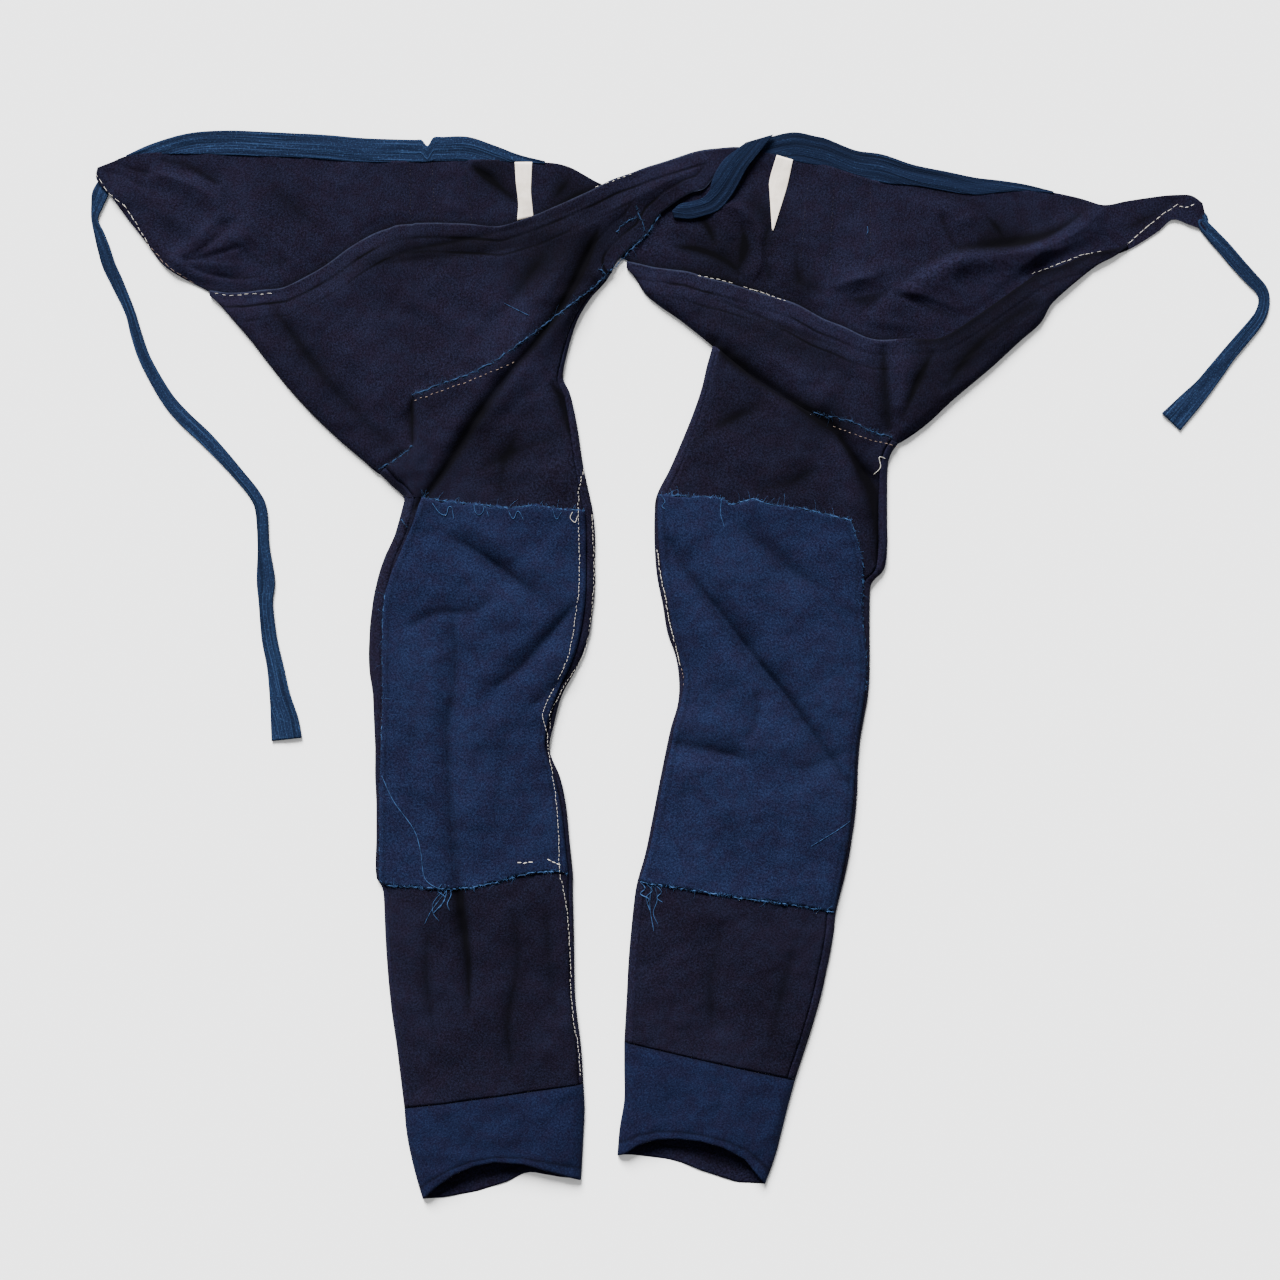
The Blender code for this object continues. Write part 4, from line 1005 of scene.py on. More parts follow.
def solid_top(half, x, y, side, edge_away):
    """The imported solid's own form: shoulder at the sides, dome, folds, low at free edges."""
    turn = 1.0 - np.clip(side / SHOULDER_WIDTH, 0.0, 1.0)
    rise = (1.0 - turn**SHOULDER_POWER) ** (1.0 / SHOULDER_POWER)
    leg_share = 1.0 - smooth_step(y, *HIP_TO_LEG_Y)
    dome = HIP_DOME + (LEG_DOME - HIP_DOME) * leg_share
    dome = dome * (1.0 - (1.0 - np.clip(side / DOME_WIDTH, 0.0, 1.0)) ** 2)
    soft = dome + fold_relief(half["folds"], x, y)
    full = SIDE_HEIGHT + (SHOULDER_HEIGHT - SIDE_HEIGHT) * rise
    full = full + soft * smooth_step(side, 0.0, SHOULDER_WIDTH)
    if half["strip"]:
        kept = 1.0 - (1.0 - STRIP_RISE_SHARE) * smooth_step(x, STRIP_FROM_X, STRIP_TO_X)
        kept = np.where(y > HIP_TO_LEG_Y[1], kept, 1.0)
        full = EDGE_REST_HEIGHT + (full - EDGE_REST_HEIGHT) * kept
    mouth_x, mouth_y, mouth_width, gape = half["mouth"]
    away = np.hypot(x - mouth_x, y - mouth_y) / mouth_width
    rest = EDGE_REST_HEIGHT + gape * np.exp(-(away**2))
    lies = 1.0 - smooth_step(edge_away, 0.0, EDGE_REST_WIDTH)
    return full + lies * (np.minimum(rest, full) - full)


def hem_relief(away):
    """A hem doubled up to HEM_WIDTH from the edge, a sewn groove there and a pressed line.

    The step is an S-curve down to the single cloth; groove and line are narrow bells.
    """
    step = HEM_RISE * (1.0 - smooth_step(away, HEM_WIDTH - 1.0, HEM_WIDTH + 2.0))
    groove = HEM_GROOVE[0] * smooth_bell(away, HEM_WIDTH, HEM_GROOVE[1])
    pressed = PRESSED_LINE[0] * smooth_bell(away, SECOND_LINE, PRESSED_LINE[1])
    rolled = ROLLED_EDGE[0] * smooth_bell(away, 0.0, ROLLED_EDGE[1])
    return step + groove + pressed + rolled


def front_top(half, x, y):
    """Upper face of the fronts: the solid's form, hem, creases and rumpling.

    Troughs flatten out over the back layer: the height over the lowest that the cloth may lie
    is half of itself plus the root of its square and a little.
    """
    side = side_distance(half, x, y)
    edge_away = distance_to_line(half["free_edge"], x, y)
    inner = smooth_step(side, 0.5, SHOULDER_WIDTH)
    soft = crease_relief(half["creases"], x, y) + half["rumple"] * rumple(x, y, half["seed"])
    solid = solid_top(half, x, y, side, edge_away)
    lowest = np.minimum(FRONT_LOWEST, solid - 0.3)
    above = solid + soft * inner - lowest
    above = lowest + 0.5 * (above + np.hypot(above, 0.3))
    on_hip = smooth_step(y, *half["hem_from_y"])
    return above + hem_relief(edge_away) * on_hip


def leg_top(half, x, y):
    """Upper face of the leg front, which laps over the hip front and lies lower farther on."""
    lap = 1.0 - smooth_step(distance_to_line(half["seam"], x, y), *LAP_FADE)
    return front_top(half, x, y) + LAP_LIFT * lap


def back_top(half, x, y):
    """Upper face of the back layer: flat under the front, folded and creased where it shows.

    Troughs are taken from a low rise, and never go below the flat cloth: the square root of
    the square of the height plus a little keeps it just above nothing.
    """
    shows = y - np.interp(x, half["edge"][:, 0], half["edge"][:, 1])
    shown = smooth_step(shows, *BACK_FOLD_FADE)
    relief = fold_relief(half["back_folds"], x, y) + crease_relief(half["back_creases"], x, y)
    relief = relief + 0.55 + 0.8 * half["rumple"] * rumple(x, y, half["seed"] + 5)
    relief = 0.5 * (relief + np.sqrt(relief**2 + 0.05))
    return BACK_TOP + relief * shown


def halves():
    """The two halves by their side, with the rumple height from the panel."""
    waves = bpy.context.scene.momohiki_cloth.rumple / METRES_PER_MM
    left = {
        "creases": LEFT_CREASES,
        "back_creases": LEFT_BACK_CREASES,
        "front_tones": LEFT_FRONT_PAINTED_LIGHT,
        "back_tones": LEFT_BACK_PAINTED_LIGHT,
        "rumple": waves,
        "seed": 3,
        "hem_from_y": (140.0, 190.0),
        "lapped_from_x": (1000.0, 1001.0),
        "patch": (LEFT_PATCH_TOP, LEFT_PATCH_BOTTOM, LEFT_PATCH_LEFT, LEFT_PATCH_RIGHT),
        "patch_counts": (141, 66),
        "hem_front": LEFT_HEM_FRONT,
        "hem_back": LEFT_HEM_BACK,
        "tab": LEFT_TAB,
        "band_darkness": 0.0,
        "sewing": LEFT_SEWING,
        "frays": LEFT_FRAYS,
        "threads": LEFT_THREADS,
    }
    right = {
        "creases": RIGHT_CREASES,
        "back_creases": RIGHT_BACK_CREASES,
        "front_tones": RIGHT_FRONT_PAINTED_LIGHT,
        "back_tones": RIGHT_BACK_PAINTED_LIGHT,
        "rumple": waves,
        "seed": 17,
        "hem_from_y": (180.0, 215.0),
        "lapped_from_x": (185.0, 212.0),
        "patch": (RIGHT_PATCH_TOP, RIGHT_PATCH_BOTTOM, RIGHT_PATCH_LEFT, RIGHT_PATCH_RIGHT),
        "patch_counts": (141, 72),
        "hem_front": RIGHT_HEM_FRONT,
        "hem_back": RIGHT_HEM_BACK,
        "tab": RIGHT_TAB,
        "band_darkness": 0.24,
        "sewing": RIGHT_SEWING,
        "frays": RIGHT_FRAYS,
        "threads": RIGHT_THREADS,
    }
    tables = (LEFT_LEG, LEFT_CUFF, LEFT_HIP_FRONT, LEFT_HIP_BACK, LEFT_FOLDS, LEFT_BACK_FOLDS)
    found = {"left": as_half(*tables, LEFT_MOUTH, False, left)}
    tables = (RIGHT_LEG, RIGHT_CUFF, RIGHT_HIP_FRONT, RIGHT_HIP_BACK, RIGHT_FOLDS, RIGHT_BACK_FOLDS)
    found["right"] = as_half(*tables, RIGHT_MOUTH, True, right)
    return found


def across(start, end):
    """Unit plan vectors from each start to each end, and the lengths between them."""
    run = end - start
    length = np.hypot(run[..., 0], run[..., 1])
    return run / length[..., None], length


def with_height(plan, height):
    return np.concatenate([plan, height[..., None]], axis=-1)


def raised(points, distance):
    """Grid points moved out along the surface's own normals."""
    normal = unit(np.cross(np.gradient(points, axis=0), np.gradient(points, axis=1)))
    return points + normal * distance


def run_and_left(path):
    """Unit plan vectors along a line of points, and to the left of it."""
    run = unit(np.gradient(path, axis=0))
    return run, np.stack([-run[:, 1], run[:, 0]], axis=1)


def under_relief(half, x, y):
    """Where the underside lifts a little off the floor: the tops of slow waves, cut off."""
    return 0.5 * np.maximum(0.0, rumple(x, y, half["seed"] + 9, 18.0, 120.0) - 0.5)


def hip_front_points(half):
    """Sections from the lower end up to the free edge.

    A section at a folded side starts under it on the floor and turns up round the fold; one
    at the seam starts below the leg front. Beyond that the points are a step apart.
    """
    kinds = half["kinds"]
    rows = np.column_stack([half["edge"], half["lower"], kinds == FOLD, kinds == SEAM])
    rows = even_rows(rows, FINE_STEP, [0, 1, 2, 3])
    edge, lower = rows[:, :2], rows[:, 2:4]
    fold, seam = np.clip(rows[:, 4:5], 0.0, 1.0), np.clip(rows[:, 5:6], 0.0, 1.0)
    free = 1.0 - np.clip(fold + seam, 0.0, 1.0)
    toward, length = across(lower, edge)
    first = fold * FOLD_REACH - seam * UNDERLAP + free * (0.0, 0.08, 0.16)
    steps = np.array(SIDE_STEPS) * np.minimum(1.0, 0.5 * length / SIDE_STEPS[-1])[:, None]
    count = int(length.max() / FINE_STEP)
    rest = np.linspace(0.0, 1.0, count + 1)[1:]
    rest = steps[:, -1:] + (length[:, None] - steps[:, -1:]) * rest
    reach = np.concatenate([first, steps, rest], axis=1)
    plan = lower[:, None] + toward[:, None] * reach[..., None]
    height = front_top(half, plan[..., 0], plan[..., 1])
    low = height[:, :3]
    height[:, :3] = fold * FOLD_HEIGHTS + seam * (low - UNDERLAP_DROP) + free * low
    return with_height(plan, height)


def seated_on_seam(points, start, end):
    """Points near the line from start to end, moved onto it; the others as they are."""
    along, length = across(start, end)
    share = (points - start) @ along
    on_line = start + along * share[:, None]
    off = np.hypot(*(points - on_line).T)
    near = (off < BACK_SEAT_REACH) & (share > 0.0) & (share < length)
    return np.where(near[:, None], on_line, points)


def hip_back_points(half):
    """Sections from the lower end up to the waist line, kept inside the folded side."""
    waist, lower = half["hip_back"][:, :2], half["hip_back"][:, 2:4]
    toward, _ = across(lower, waist)
    need = np.maximum(0.0, BACK_SIDE_CLEARANCE - side_distance(half, *lower.T))
    lower = lower + toward * (need * BACK_SLANT)[:, None]
    lower = seated_on_seam(lower, half["leg"][0, :2], half["leg"][0, 2:4])
    rows = even_rows(np.column_stack([waist, lower]), FINE_STEP)
    waist, lower = rows[:, :2], rows[:, 2:]
    _, length = across(lower, waist)
    share = np.linspace(0.0, 1.0, int(length.max() / FINE_STEP) + 1)
    plan = lower[:, None] + (waist - lower)[:, None] * share[:, None]
    return with_height(plan, back_top(half, plan[..., 0], plan[..., 1]))


def leg_front_points(half):
    """Upper wall between the leg's seams; its first rows follow the shaped hip seam."""
    leg, seam = half["leg"], half["seam"]
    along, width = across(leg[:, :2], leg[:, 2:4])
    steps = np.hypot(*np.diff(seam, axis=0).T)
    share = np.concatenate([[0.0], np.cumsum(steps)]) / steps.sum()
    reach = leg[:, 4:5] + (width - leg[:, 4] - leg[:, 5])[:, None] * share
    plan = leg[:, None, :2] + along[:, None] * reach[..., None]
    weight = np.clip(1.0 - np.arange(len(leg)) / LEG_JOIN_ROWS, 0.0, 1.0)
    plan = plan + weight[:, None, None] * (seam - plan[0])
    plan = fine_grid(plan, FINE_STEP)
    points = with_height(plan, leg_top(half, plan[..., 0], plan[..., 1]))
    points[-1, :, 2] -= SEAM_DIP
    return points


def lip_reach(first):
    """Distances from a side over its upper face, from below the leg front out to the side."""
    under = first[:, None] + np.array(LIP_UNDER)
    out = first[:, None] * np.array(LIP_SHARES)
    return np.concatenate([under, out], axis=1)


def floor_reach(width, count):
    """Distances and heights of an underside, from the left side's foot to the right's."""
    foot = np.array(FOOT)
    left = np.broadcast_to(foot[:, 0], (len(width), len(foot)))
    share = np.linspace(0.0, 1.0, count + 2)[1:-1]
    middle = foot[-1, 0] + (width[:, None] - 2.0 * foot[-1, 0]) * share
    right = width[:, None] - left[:, ::-1]
    height = np.concatenate([foot[:, 1], np.zeros(count), foot[::-1, 1]])
    return np.concatenate([left, middle, right], axis=1), height


def ring_plan(rows, reach):
    """Plan points on each row, at the given distances from its left side."""
    along, _ = across(rows[:, :2], rows[:, 2:4])
    return rows[:, None, :2] + along[:, None] * reach[..., None]


def leg_back_points(half):
    """Lower wall: out from below the front's left edge, over the floor, and back again."""
    rows = even_rows(half["leg"], BACK_ROW_STEP, [0, 1, 2, 3])
    _, width = across(rows[:, :2], rows[:, 2:4])
    left, right = lip_reach(rows[:, 4]), lip_reach(rows[:, 5])
    floor, floor_height = floor_reach(width, int(width.max() / FLOOR_STEP))
    reach = np.concatenate([left, floor, width[:, None] - right[:, ::-1]], axis=1)
    plan = ring_plan(rows, reach)
    x, y = plan[..., 0], plan[..., 1]
    height = leg_top(half, x, y)
    below = smooth_step(left, rows[:, 4:5] - 1.8, rows[:, 4:5] + 0.2)
    height[:, : left.shape[1]] -= UNDERLAP_DROP * below
    below = smooth_step(right, rows[:, 5:6] - 1.8, rows[:, 5:6] + 0.2)
    height[:, -right.shape[1] :] -= UNDERLAP_DROP * below[:, ::-1]
    flat = slice(left.shape[1], left.shape[1] + floor.shape[1])
    height[:, flat] = floor_height + (floor_height == 0.0) * under_relief(half, x, y)[:, flat]
    return with_height(plan, height)


def cuff_points(half):
    """A closed tube: upper face from left to right, then back along the floor.

    Its last row follows the measured hem, higher at the front than at the back, and the rows
    between it and the seam share that lift by the square of their place.
    """
    rows = even_rows(half["cuff"], FINE_STEP)
    along, width = across(rows[:, :2], rows[:, 2:4])
    down = np.stack([along[:, 1], -along[:, 0]], axis=1)
    near = np.array(CUFF_SIDE)
    middle = np.linspace(0.0, 1.0, int(width.max() / FINE_STEP))[1:-1]
    middle = near[-1] + (width[:, None] - 2.0 * near[-1]) * middle
    near = np.broadcast_to(near, (len(rows), len(near)))
    top = np.concatenate([near, middle, width[:, None] - near[:, ::-1]], axis=1)
    floor, floor_height = floor_reach(width, int(width.max() / FLOOR_STEP))
    reach = np.concatenate([top, floor[:, ::-1]], axis=1)
    plan = ring_plan(rows, reach)
    share = reach / width[:, None]
    lift = np.interp(share, *np.array(half["hem_front"]).T)
    lift[:, top.shape[1] :] = np.interp(share, *np.array(half["hem_back"]).T)[:, top.shape[1] :]
    place = np.linspace(0.0, 1.0, len(rows))[:, None]
    plan = plan - down[:, None] * (lift * place**2 - CUFF_GAP * (1.0 - place))[..., None]
    x, y = plan[..., 0], plan[..., 1]
    from_seam = place * CUFF_LENGTH
    from_hem = (1.0 - place) * CUFF_LENGTH
    groove = -SEAM_DIP * np.exp(-((from_seam / 1.6) ** 2))
    groove = groove + CUFF_RISE * smooth_step(from_seam, 0.5, 5.0)
    groove = groove - 0.45 * np.exp(-(((from_hem - CUFF_HEM) / 1.2) ** 2))
    groove = groove - 0.5 * np.exp(-((from_hem / 1.0) ** 2))
    side = side_distance(half, x, y)
    height = front_top(half, x, y) + groove * smooth_step(side, 0.5, 5.0)
    flat = slice(top.shape[1], None)
    height[:, flat] = floor_height + (floor_height == 0.0) * under_relief(half, x, y)[:, flat]
    return with_height(plan, height)


def evenly(line, count):
    """A number of points at equal lengths along the smooth curve through a line's points."""
    dense = smooth_rows(line, 12)
    reached = np.concatenate([[0.0], np.cumsum(np.hypot(*np.diff(dense, axis=0).T))])
    at = np.linspace(0.0, reached[-1], count)
    return np.stack([np.interp(at, reached, dense[:, k]) for k in (0, 1)], axis=1)


def patch_points(half):
    """The patch's four edge lines filled in, on the leg front's surface and moved out.

    The fill is a Coons surface: top and bottom ruled together, plus left and right ruled
    together, less the plane through the four corners. Raw edges waver by short waves.
    """
    top, bottom, left, right = half["patch"]
    rows, columns = half["patch_counts"]
    top, bottom = evenly(top, columns)[None], evenly(bottom, columns)[None]
    left, right = evenly(left, rows)[:, None], evenly(right, rows)[:, None]
    v = np.linspace(0.0, 1.0, rows)[:, None, None]
    u = np.linspace(0.0, 1.0, columns)[None, :, None]
    plan = (1.0 - v) * top + v * bottom + (1.0 - u) * left + u * right
    upper = (1.0 - u) * top[:, :1] + u * top[:, -1:]
    lower = (1.0 - u) * bottom[:, :1] + u * bottom[:, -1:]
    plan = plan - (1.0 - v) * upper - v * lower
    waver = 0.9 * rumple(plan[..., 0], plan[..., 1], half["seed"] + 3, 4.0, 22.0)
    raw = np.exp(-v[..., 0] * rows / 2.0) + np.exp(-(1.0 - v[..., 0]) * rows / 2.0)
    plan[..., 1] += waver * raw
    points = with_height(plan, leg_top(half, plan[..., 0], plan[..., 1]))
    return raised(points, PATCH_LIFT)


def tape_ring(near, far, under, thickness, count, waves=0.0, seed=0):
    """A closed ring round a flat tape: up over the tape from near to far, and back below it.

    At s, from -1 to 1 across, the faces lie half a thickness above and below the middle,
    times the sixth root of 1 - s to the sixth, so both edges are round. The upper face has
    soft lengthwise folds and a groove inside each edge. under gives the height it lies on.
    """
    s = -np.cos(np.linspace(0.0, np.pi, count))
    full = (1.0 - np.abs(s) ** 6) ** (1.0 / 6.0)
    share = (s + 1.0) / 2.0
    above = near[:, None] + (far - near)[:, None] * share[:, None]
    below = above[:, -2:0:-1]
    folds = rumple(40.0 * s[None] + 0 * above[..., 0], above[..., 0] + above[..., 1], seed, 16.0, 90.0)
    groove = np.exp(-(((np.abs(s) - 0.8) / 0.07) ** 2))
    soft = (waves * folds - 0.25 * groove) * full**4
    top = under(above) + 0.5 * thickness * (1.0 + full) + soft
    low = under(below) + 0.5 * thickness * (1.0 - full[-2:0:-1])
    return np.concatenate([with_height(above, top), with_height(below, low)], axis=1)


def waistband_points(half):
    """The band on the waist line, as wide as its column says, lapping over the cloth."""
    rows = half["hip_back"][half["hip_back"][:, 4] > 0.0]
    near = rows[:, :2] - (0.0, BAND_LAP)
    far = rows[:, :2] + rows[:, 4:5] * (0.0, 1.0)
    rows = even_rows(np.column_stack([near, far]), FINE_STEP)
    near, far = rows[:, :2], rows[:, 2:]
    return tape_ring(near, far, on_floor, BAND_THICKNESS, BAND_COLUMNS, 0.22, half["seed"])


def on_floor(plan):
    return np.full(plan.shape[:-1], FLOOR_GAP)


def band_end_points(rows):
    """The band's end that curls down over the middle, on the given underside heights."""
    rows = even_rows(rows, FINE_STEP, [0, 1, 2, 3])
    near, far = rows[:, :2], rows[:, 2:4]
    ring = tape_ring(near, far, lambda plan: 0.0 * plan[..., 0], BAND_THICKNESS, BAND_COLUMNS, 0.2, 4)
    ring[..., 2] += rows[:, 4:5]
    return ring


def tie_points(rows, seed):
    """A doubled tape on the floor along its centre line, folded lengthwise as it twists.

    Its root, which the waist corner covers, is pressed thin.
    """
    rows = even_rows(rows, TIE_STEP, [0, 1])
    half_width = run_and_left(rows[:, :2])[1] * rows[:, 2:3] / 2.0
    near, far = rows[:, :2] - half_width, rows[:, :2] + half_width
    from_root = TIE_STEP * np.arange(len(rows))[:, None]
    thickness = TIE_THICKNESS * (0.35 + 0.65 * smooth_step(from_root, *TIE_ROOT))
    return tape_ring(near, far, on_floor, thickness, TIE_COLUMNS, 0.4, seed)


def tab_points(half, rows):
    """A tape sewn on the hip back, just above it."""
    rows = even_rows(rows, FINE_STEP)

    def laid(plan):
        return back_top(half, plan[..., 0], plan[..., 1]) + TAB_GAP

    near, far = rows[:, :2], rows[:, 2:]
    return tape_ring(near, far, laid, TAB_THICKNESS, TAB_COLUMNS, 0.12, half["seed"] + 2)


def inside(outline, x, y):
    """True where a point lies in a closed outline: a ray from it meets that an odd number of times."""
    start, end = outline, np.roll(outline, -1, axis=0)
    above = (start[:, 1] > y[..., None]) != (end[:, 1] > y[..., None])
    rise = np.where(end[:, 1] == start[:, 1], 1e-9, end[:, 1] - start[:, 1])
    meets = start[:, 0] + (y[..., None] - start[:, 1]) * (end[:, 0] - start[:, 0]) / rise
    return (above & (x[..., None] < meets)).sum(axis=-1) % 2 == 1


def patch_outline(half):
    top, bottom, left, right = (np.array(line, float) for line in half["patch"])
    return np.concatenate([top, right[1:], bottom[::-1][1:], left[::-1][1:-1]])


def height_on(half, cloth, plan):
    """Height of the cloth that sewing or a thread lies on: leg with its patch, hip or back."""
    x, y = plan[..., 0], plan[..., 1]
    if cloth == "back":
        return back_top(half, x, y)
    if cloth == "hip":
        return front_top(half, x, y)
    if cloth == "rim":
        return leg_top(half, x, y) + 0.75 * PATCH_LIFT
    return leg_top(half, x, y) + PATCH_LIFT * inside(patch_outline(half), x, y)


def tube_grid(centres, radius, sides):
    """Points and faces of many closed tubes, each a ring of sides at each of its centres.

    The ring lies across the run: its first axis is level, its second upright to both. centres
    is tubes by rings by 3, radius tubes by rings.
    """
    tubes, rings = radius.shape
    run = np.gradient(centres, axis=1)
    run /= np.maximum(np.linalg.norm(run, axis=-1, keepdims=True), 1e-9)
    level = np.stack([-run[..., 1], run[..., 0], 0.0 * run[..., 0]], axis=-1)
    level /= np.maximum(np.linalg.norm(level, axis=-1, keepdims=True), 1e-9)
    upright = np.cross(run, level)
    angle = np.arange(sides) * 2.0 * np.pi / sides
    ring = level[:, :, None] * np.cos(angle)[:, None] + upright[:, :, None] * np.sin(angle)[:, None]
    points = centres[:, :, None] + ring * radius[:, :, None, None]
    index = np.arange(tubes * rings * sides).reshape(tubes, rings, sides)
    turned = np.roll(index, -1, axis=2)
    walls = np.stack([index[:, :-1], turned[:, :-1], turned[:, 1:], index[:, 1:]], axis=-1)
    ends = np.concatenate([index[:, 0, ::-1], index[:, -1]])
    return points.reshape(-1, 3), walls.reshape(-1, 4), ends


def stitch_tubes(half, row, chance):
    """Short stitches along a line: each dips at both ends, and none is quite straight.

    The height over the cloth goes with a half sine along the stitch.
    """
    cloth, thread, pitch, length, thickness, line = row
    middle = even_rows(np.array(line, float), pitch)
    along = unit(np.gradient(middle, axis=0))
    turn = chance.normal(0.0, 0.08, len(middle))
    cos, sin = np.cos(turn), np.sin(turn)
    along = np.stack([along[:, 0] * cos - along[:, 1] * sin, along[:, 0] * sin + along[:, 1] * cos], 1)
    middle = middle + chance.normal(0.0, 0.25, middle.shape)
    length = length * chance.uniform(0.75, 1.15, (len(middle), 1))
    t = np.linspace(-1.0, 1.0, 6)[None]
    plan = middle[:, None] + along[:, None] * (t * length / 2.0)[..., None]
    arch = np.sin((t + 1.0) * np.pi / 2.0)
    height = height_on(half, cloth, plan) + thickness * (0.55 * arch - 0.25)
    radius = thickness / 2.0 * np.sqrt(np.maximum(0.06, 1.0 - t**4)) * np.ones_like(length)
    return thread, with_height(plan, height), radius


def fibre_plan(start, away, reach, bend, t):
    """Plan points of fibres from their start, bent aside by the square of the share t."""
    away = unit(away)
    curl = np.stack([-away[:, 1], away[:, 0]], axis=1)
    plan = start[:, None] + away[:, None] * (reach * t)[..., None]
    return plan + curl[:, None] * (bend * reach * t**2)[..., None]


def fray_tubes(half, row, chance):
    """A raw edge: an uneven rolled cord, and fine fibres that spring from it both ways.

    The cord's radius and place waver by short waves. A fibre starts on the cord and bends
    away from it by the square of its length.
    """
    cloth, radius, line = row
    thread = "fray" if cloth == "rim" else "seam_fray"
    path = even_rows(np.array(line, float), FRAY_STEP)
    run, out = run_and_left(path)
    x, y = path[:, 0], path[:, 1]
    seed = int(chance.integers(1, 900))
    wander = rumple(x, y, seed, 2.2, 12.0)
    cord = path + out * (0.5 * radius * wander)[:, None]
    thick = radius * np.clip(0.6 + 0.35 * rumple(x, y, seed + 1, 2.0, 9.0), 0.15, 1.2)
    height = height_on(half, cloth, cord) + 0.3 * thick
    groups = [(thread, with_height(cord, height)[None], thick[None], CORD_SIDES)]
    short = (int(len(path) * 1.6 * radius**0.5), 3.6 * radius**0.5, 0.13)
    long = (int(len(path) * radius / 6), 9.0, 0.11)
    t = np.linspace(0.0, 1.0, 5)
    for count, longest, fine in (short, long):
        at = chance.integers(0, len(path), count)
        side = chance.choice([-1.0, 1.0], count)[:, None]
        reach = chance.uniform(0.25, 1.0, (count, 1)) * longest
        lean = chance.normal(0.0, 0.7, (count, 1))
        bend = chance.normal(0.0, 0.45, (count, 1))
        plan = fibre_plan(cord[at], out[at] * side + run[at] * lean, reach, bend, t)
        rise = chance.uniform(0.1, 0.7, (count, 1)) * t * (1.4 - t)
        height = height_on(half, cloth, plan) + 0.2 + rise
        thin = fine * (1.0 - 0.6 * t) + 0.0 * reach
        groups.append((thread, with_height(plan, height), thin, FIBRE_SIDES))
    return groups


def edge_fibres(half, line, outward, chance):
    """Fibres of a raw patch edge: short, mostly pointing out, a few long and curled."""
    path = even_rows(np.array(line, float), FRAY_STEP)
    run, out = run_and_left(path)
    out = out * outward
    t = np.linspace(0.0, 1.0, 5)
    kinds = (("patch", len(path), 2.6), ("fray", len(path) // 3, 3.6), ("fray", len(path) // 16, 9.0))
    groups = []
    for thread, count, longest in kinds:
        at = chance.integers(0, len(path), count)
        reach = chance.uniform(0.3, 1.0, (count, 1)) * longest
        lean = chance.normal(0.0, 0.6, (count, 1))
        bend = chance.normal(0.0, 0.5, (count, 1))
        plan = fibre_plan(path[at] - out[at] * 1.2, out[at] + run[at] * lean, reach, bend, t)
        on_patch = leg_top(half, plan[..., 0], plan[..., 1]) + PATCH_LIFT * (1.0 - t) ** 1.5
        height = on_patch + 0.2 + chance.uniform(0.0, 0.5, (count, 1)) * t
        radius = 0.13 * (1.0 - 0.55 * t) + 0.0 * reach
        groups.append((thread, with_height(plan, height), radius, FIBRE_SIDES))
    return groups


def loose_tubes(half, row):
    """One loose thread: a thin tube that lies along a smooth line, just over the cloth."""
    cloth, thread, radius, line = row
    path = even_rows(np.array(line, float), THREAD_STEP)
    height = height_on(half, cloth, path) + radius + 0.15
    t = np.linspace(0.0, 1.0, len(path))
    thick = radius * (0.65 + 0.35 * np.sin(np.pi * t) + 0.12 * np.sin(37.0 * t))
    return thread, with_height(path, height)[None], thick[None]


def add_threads(name, groups, threads):
    """All the tubes of one kind of sewing in one mesh, each with its thread's material."""
    points, faces, finish, first = [], [], [], 0
    order = sorted({group[0] for group in groups})
    for thread, centres, radius, sides in groups:
        found, walls, ends = tube_grid(centres, radius, sides)
        points.append(found)
        faces.extend((walls + first).tolist())
        faces.extend((ends + first).tolist())
        finish.extend([order.index(thread)] * (len(walls) + len(ends)))
        first += len(found)
    mesh = bpy.data.meshes.new(name)
    mesh.from_pydata((np.concatenate(points) * METRES_PER_MM).tolist(), [], faces)
    for thread in order:
        mesh.materials.append(threads[thread])
    mesh.polygons.foreach_set("material_index", np.array(finish, np.int32))
    return linked(name, mesh)


def linked(name, mesh):
    """A piece in the scene with smooth faces, riding on the garment's one body."""
    mesh.validate()
    mesh.shade_smooth()
    piece = bpy.data.objects.new(name, mesh)
    bpy.context.scene.collection.objects.link(piece)
    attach(piece, "root")
    return piece


def cloth_lengths(points):
    """Flat place of each grid point in metres: across from its row's middle, and down."""
    steps = np.linalg.norm(np.diff(points, axis=1), axis=-1)
    over = np.concatenate([np.zeros((len(points), 1)), np.cumsum(steps, axis=1)], axis=1)
    over = over - over[:, -1:] / 2.0
    steps = np.linalg.norm(np.diff(points, axis=0), axis=-1).mean(axis=1)
    down = np.concatenate([[0.0], np.cumsum(steps)])
    down = np.broadcast_to(down[:, None], over.shape)
    return np.stack([over, down], axis=-1) * METRES_PER_MM


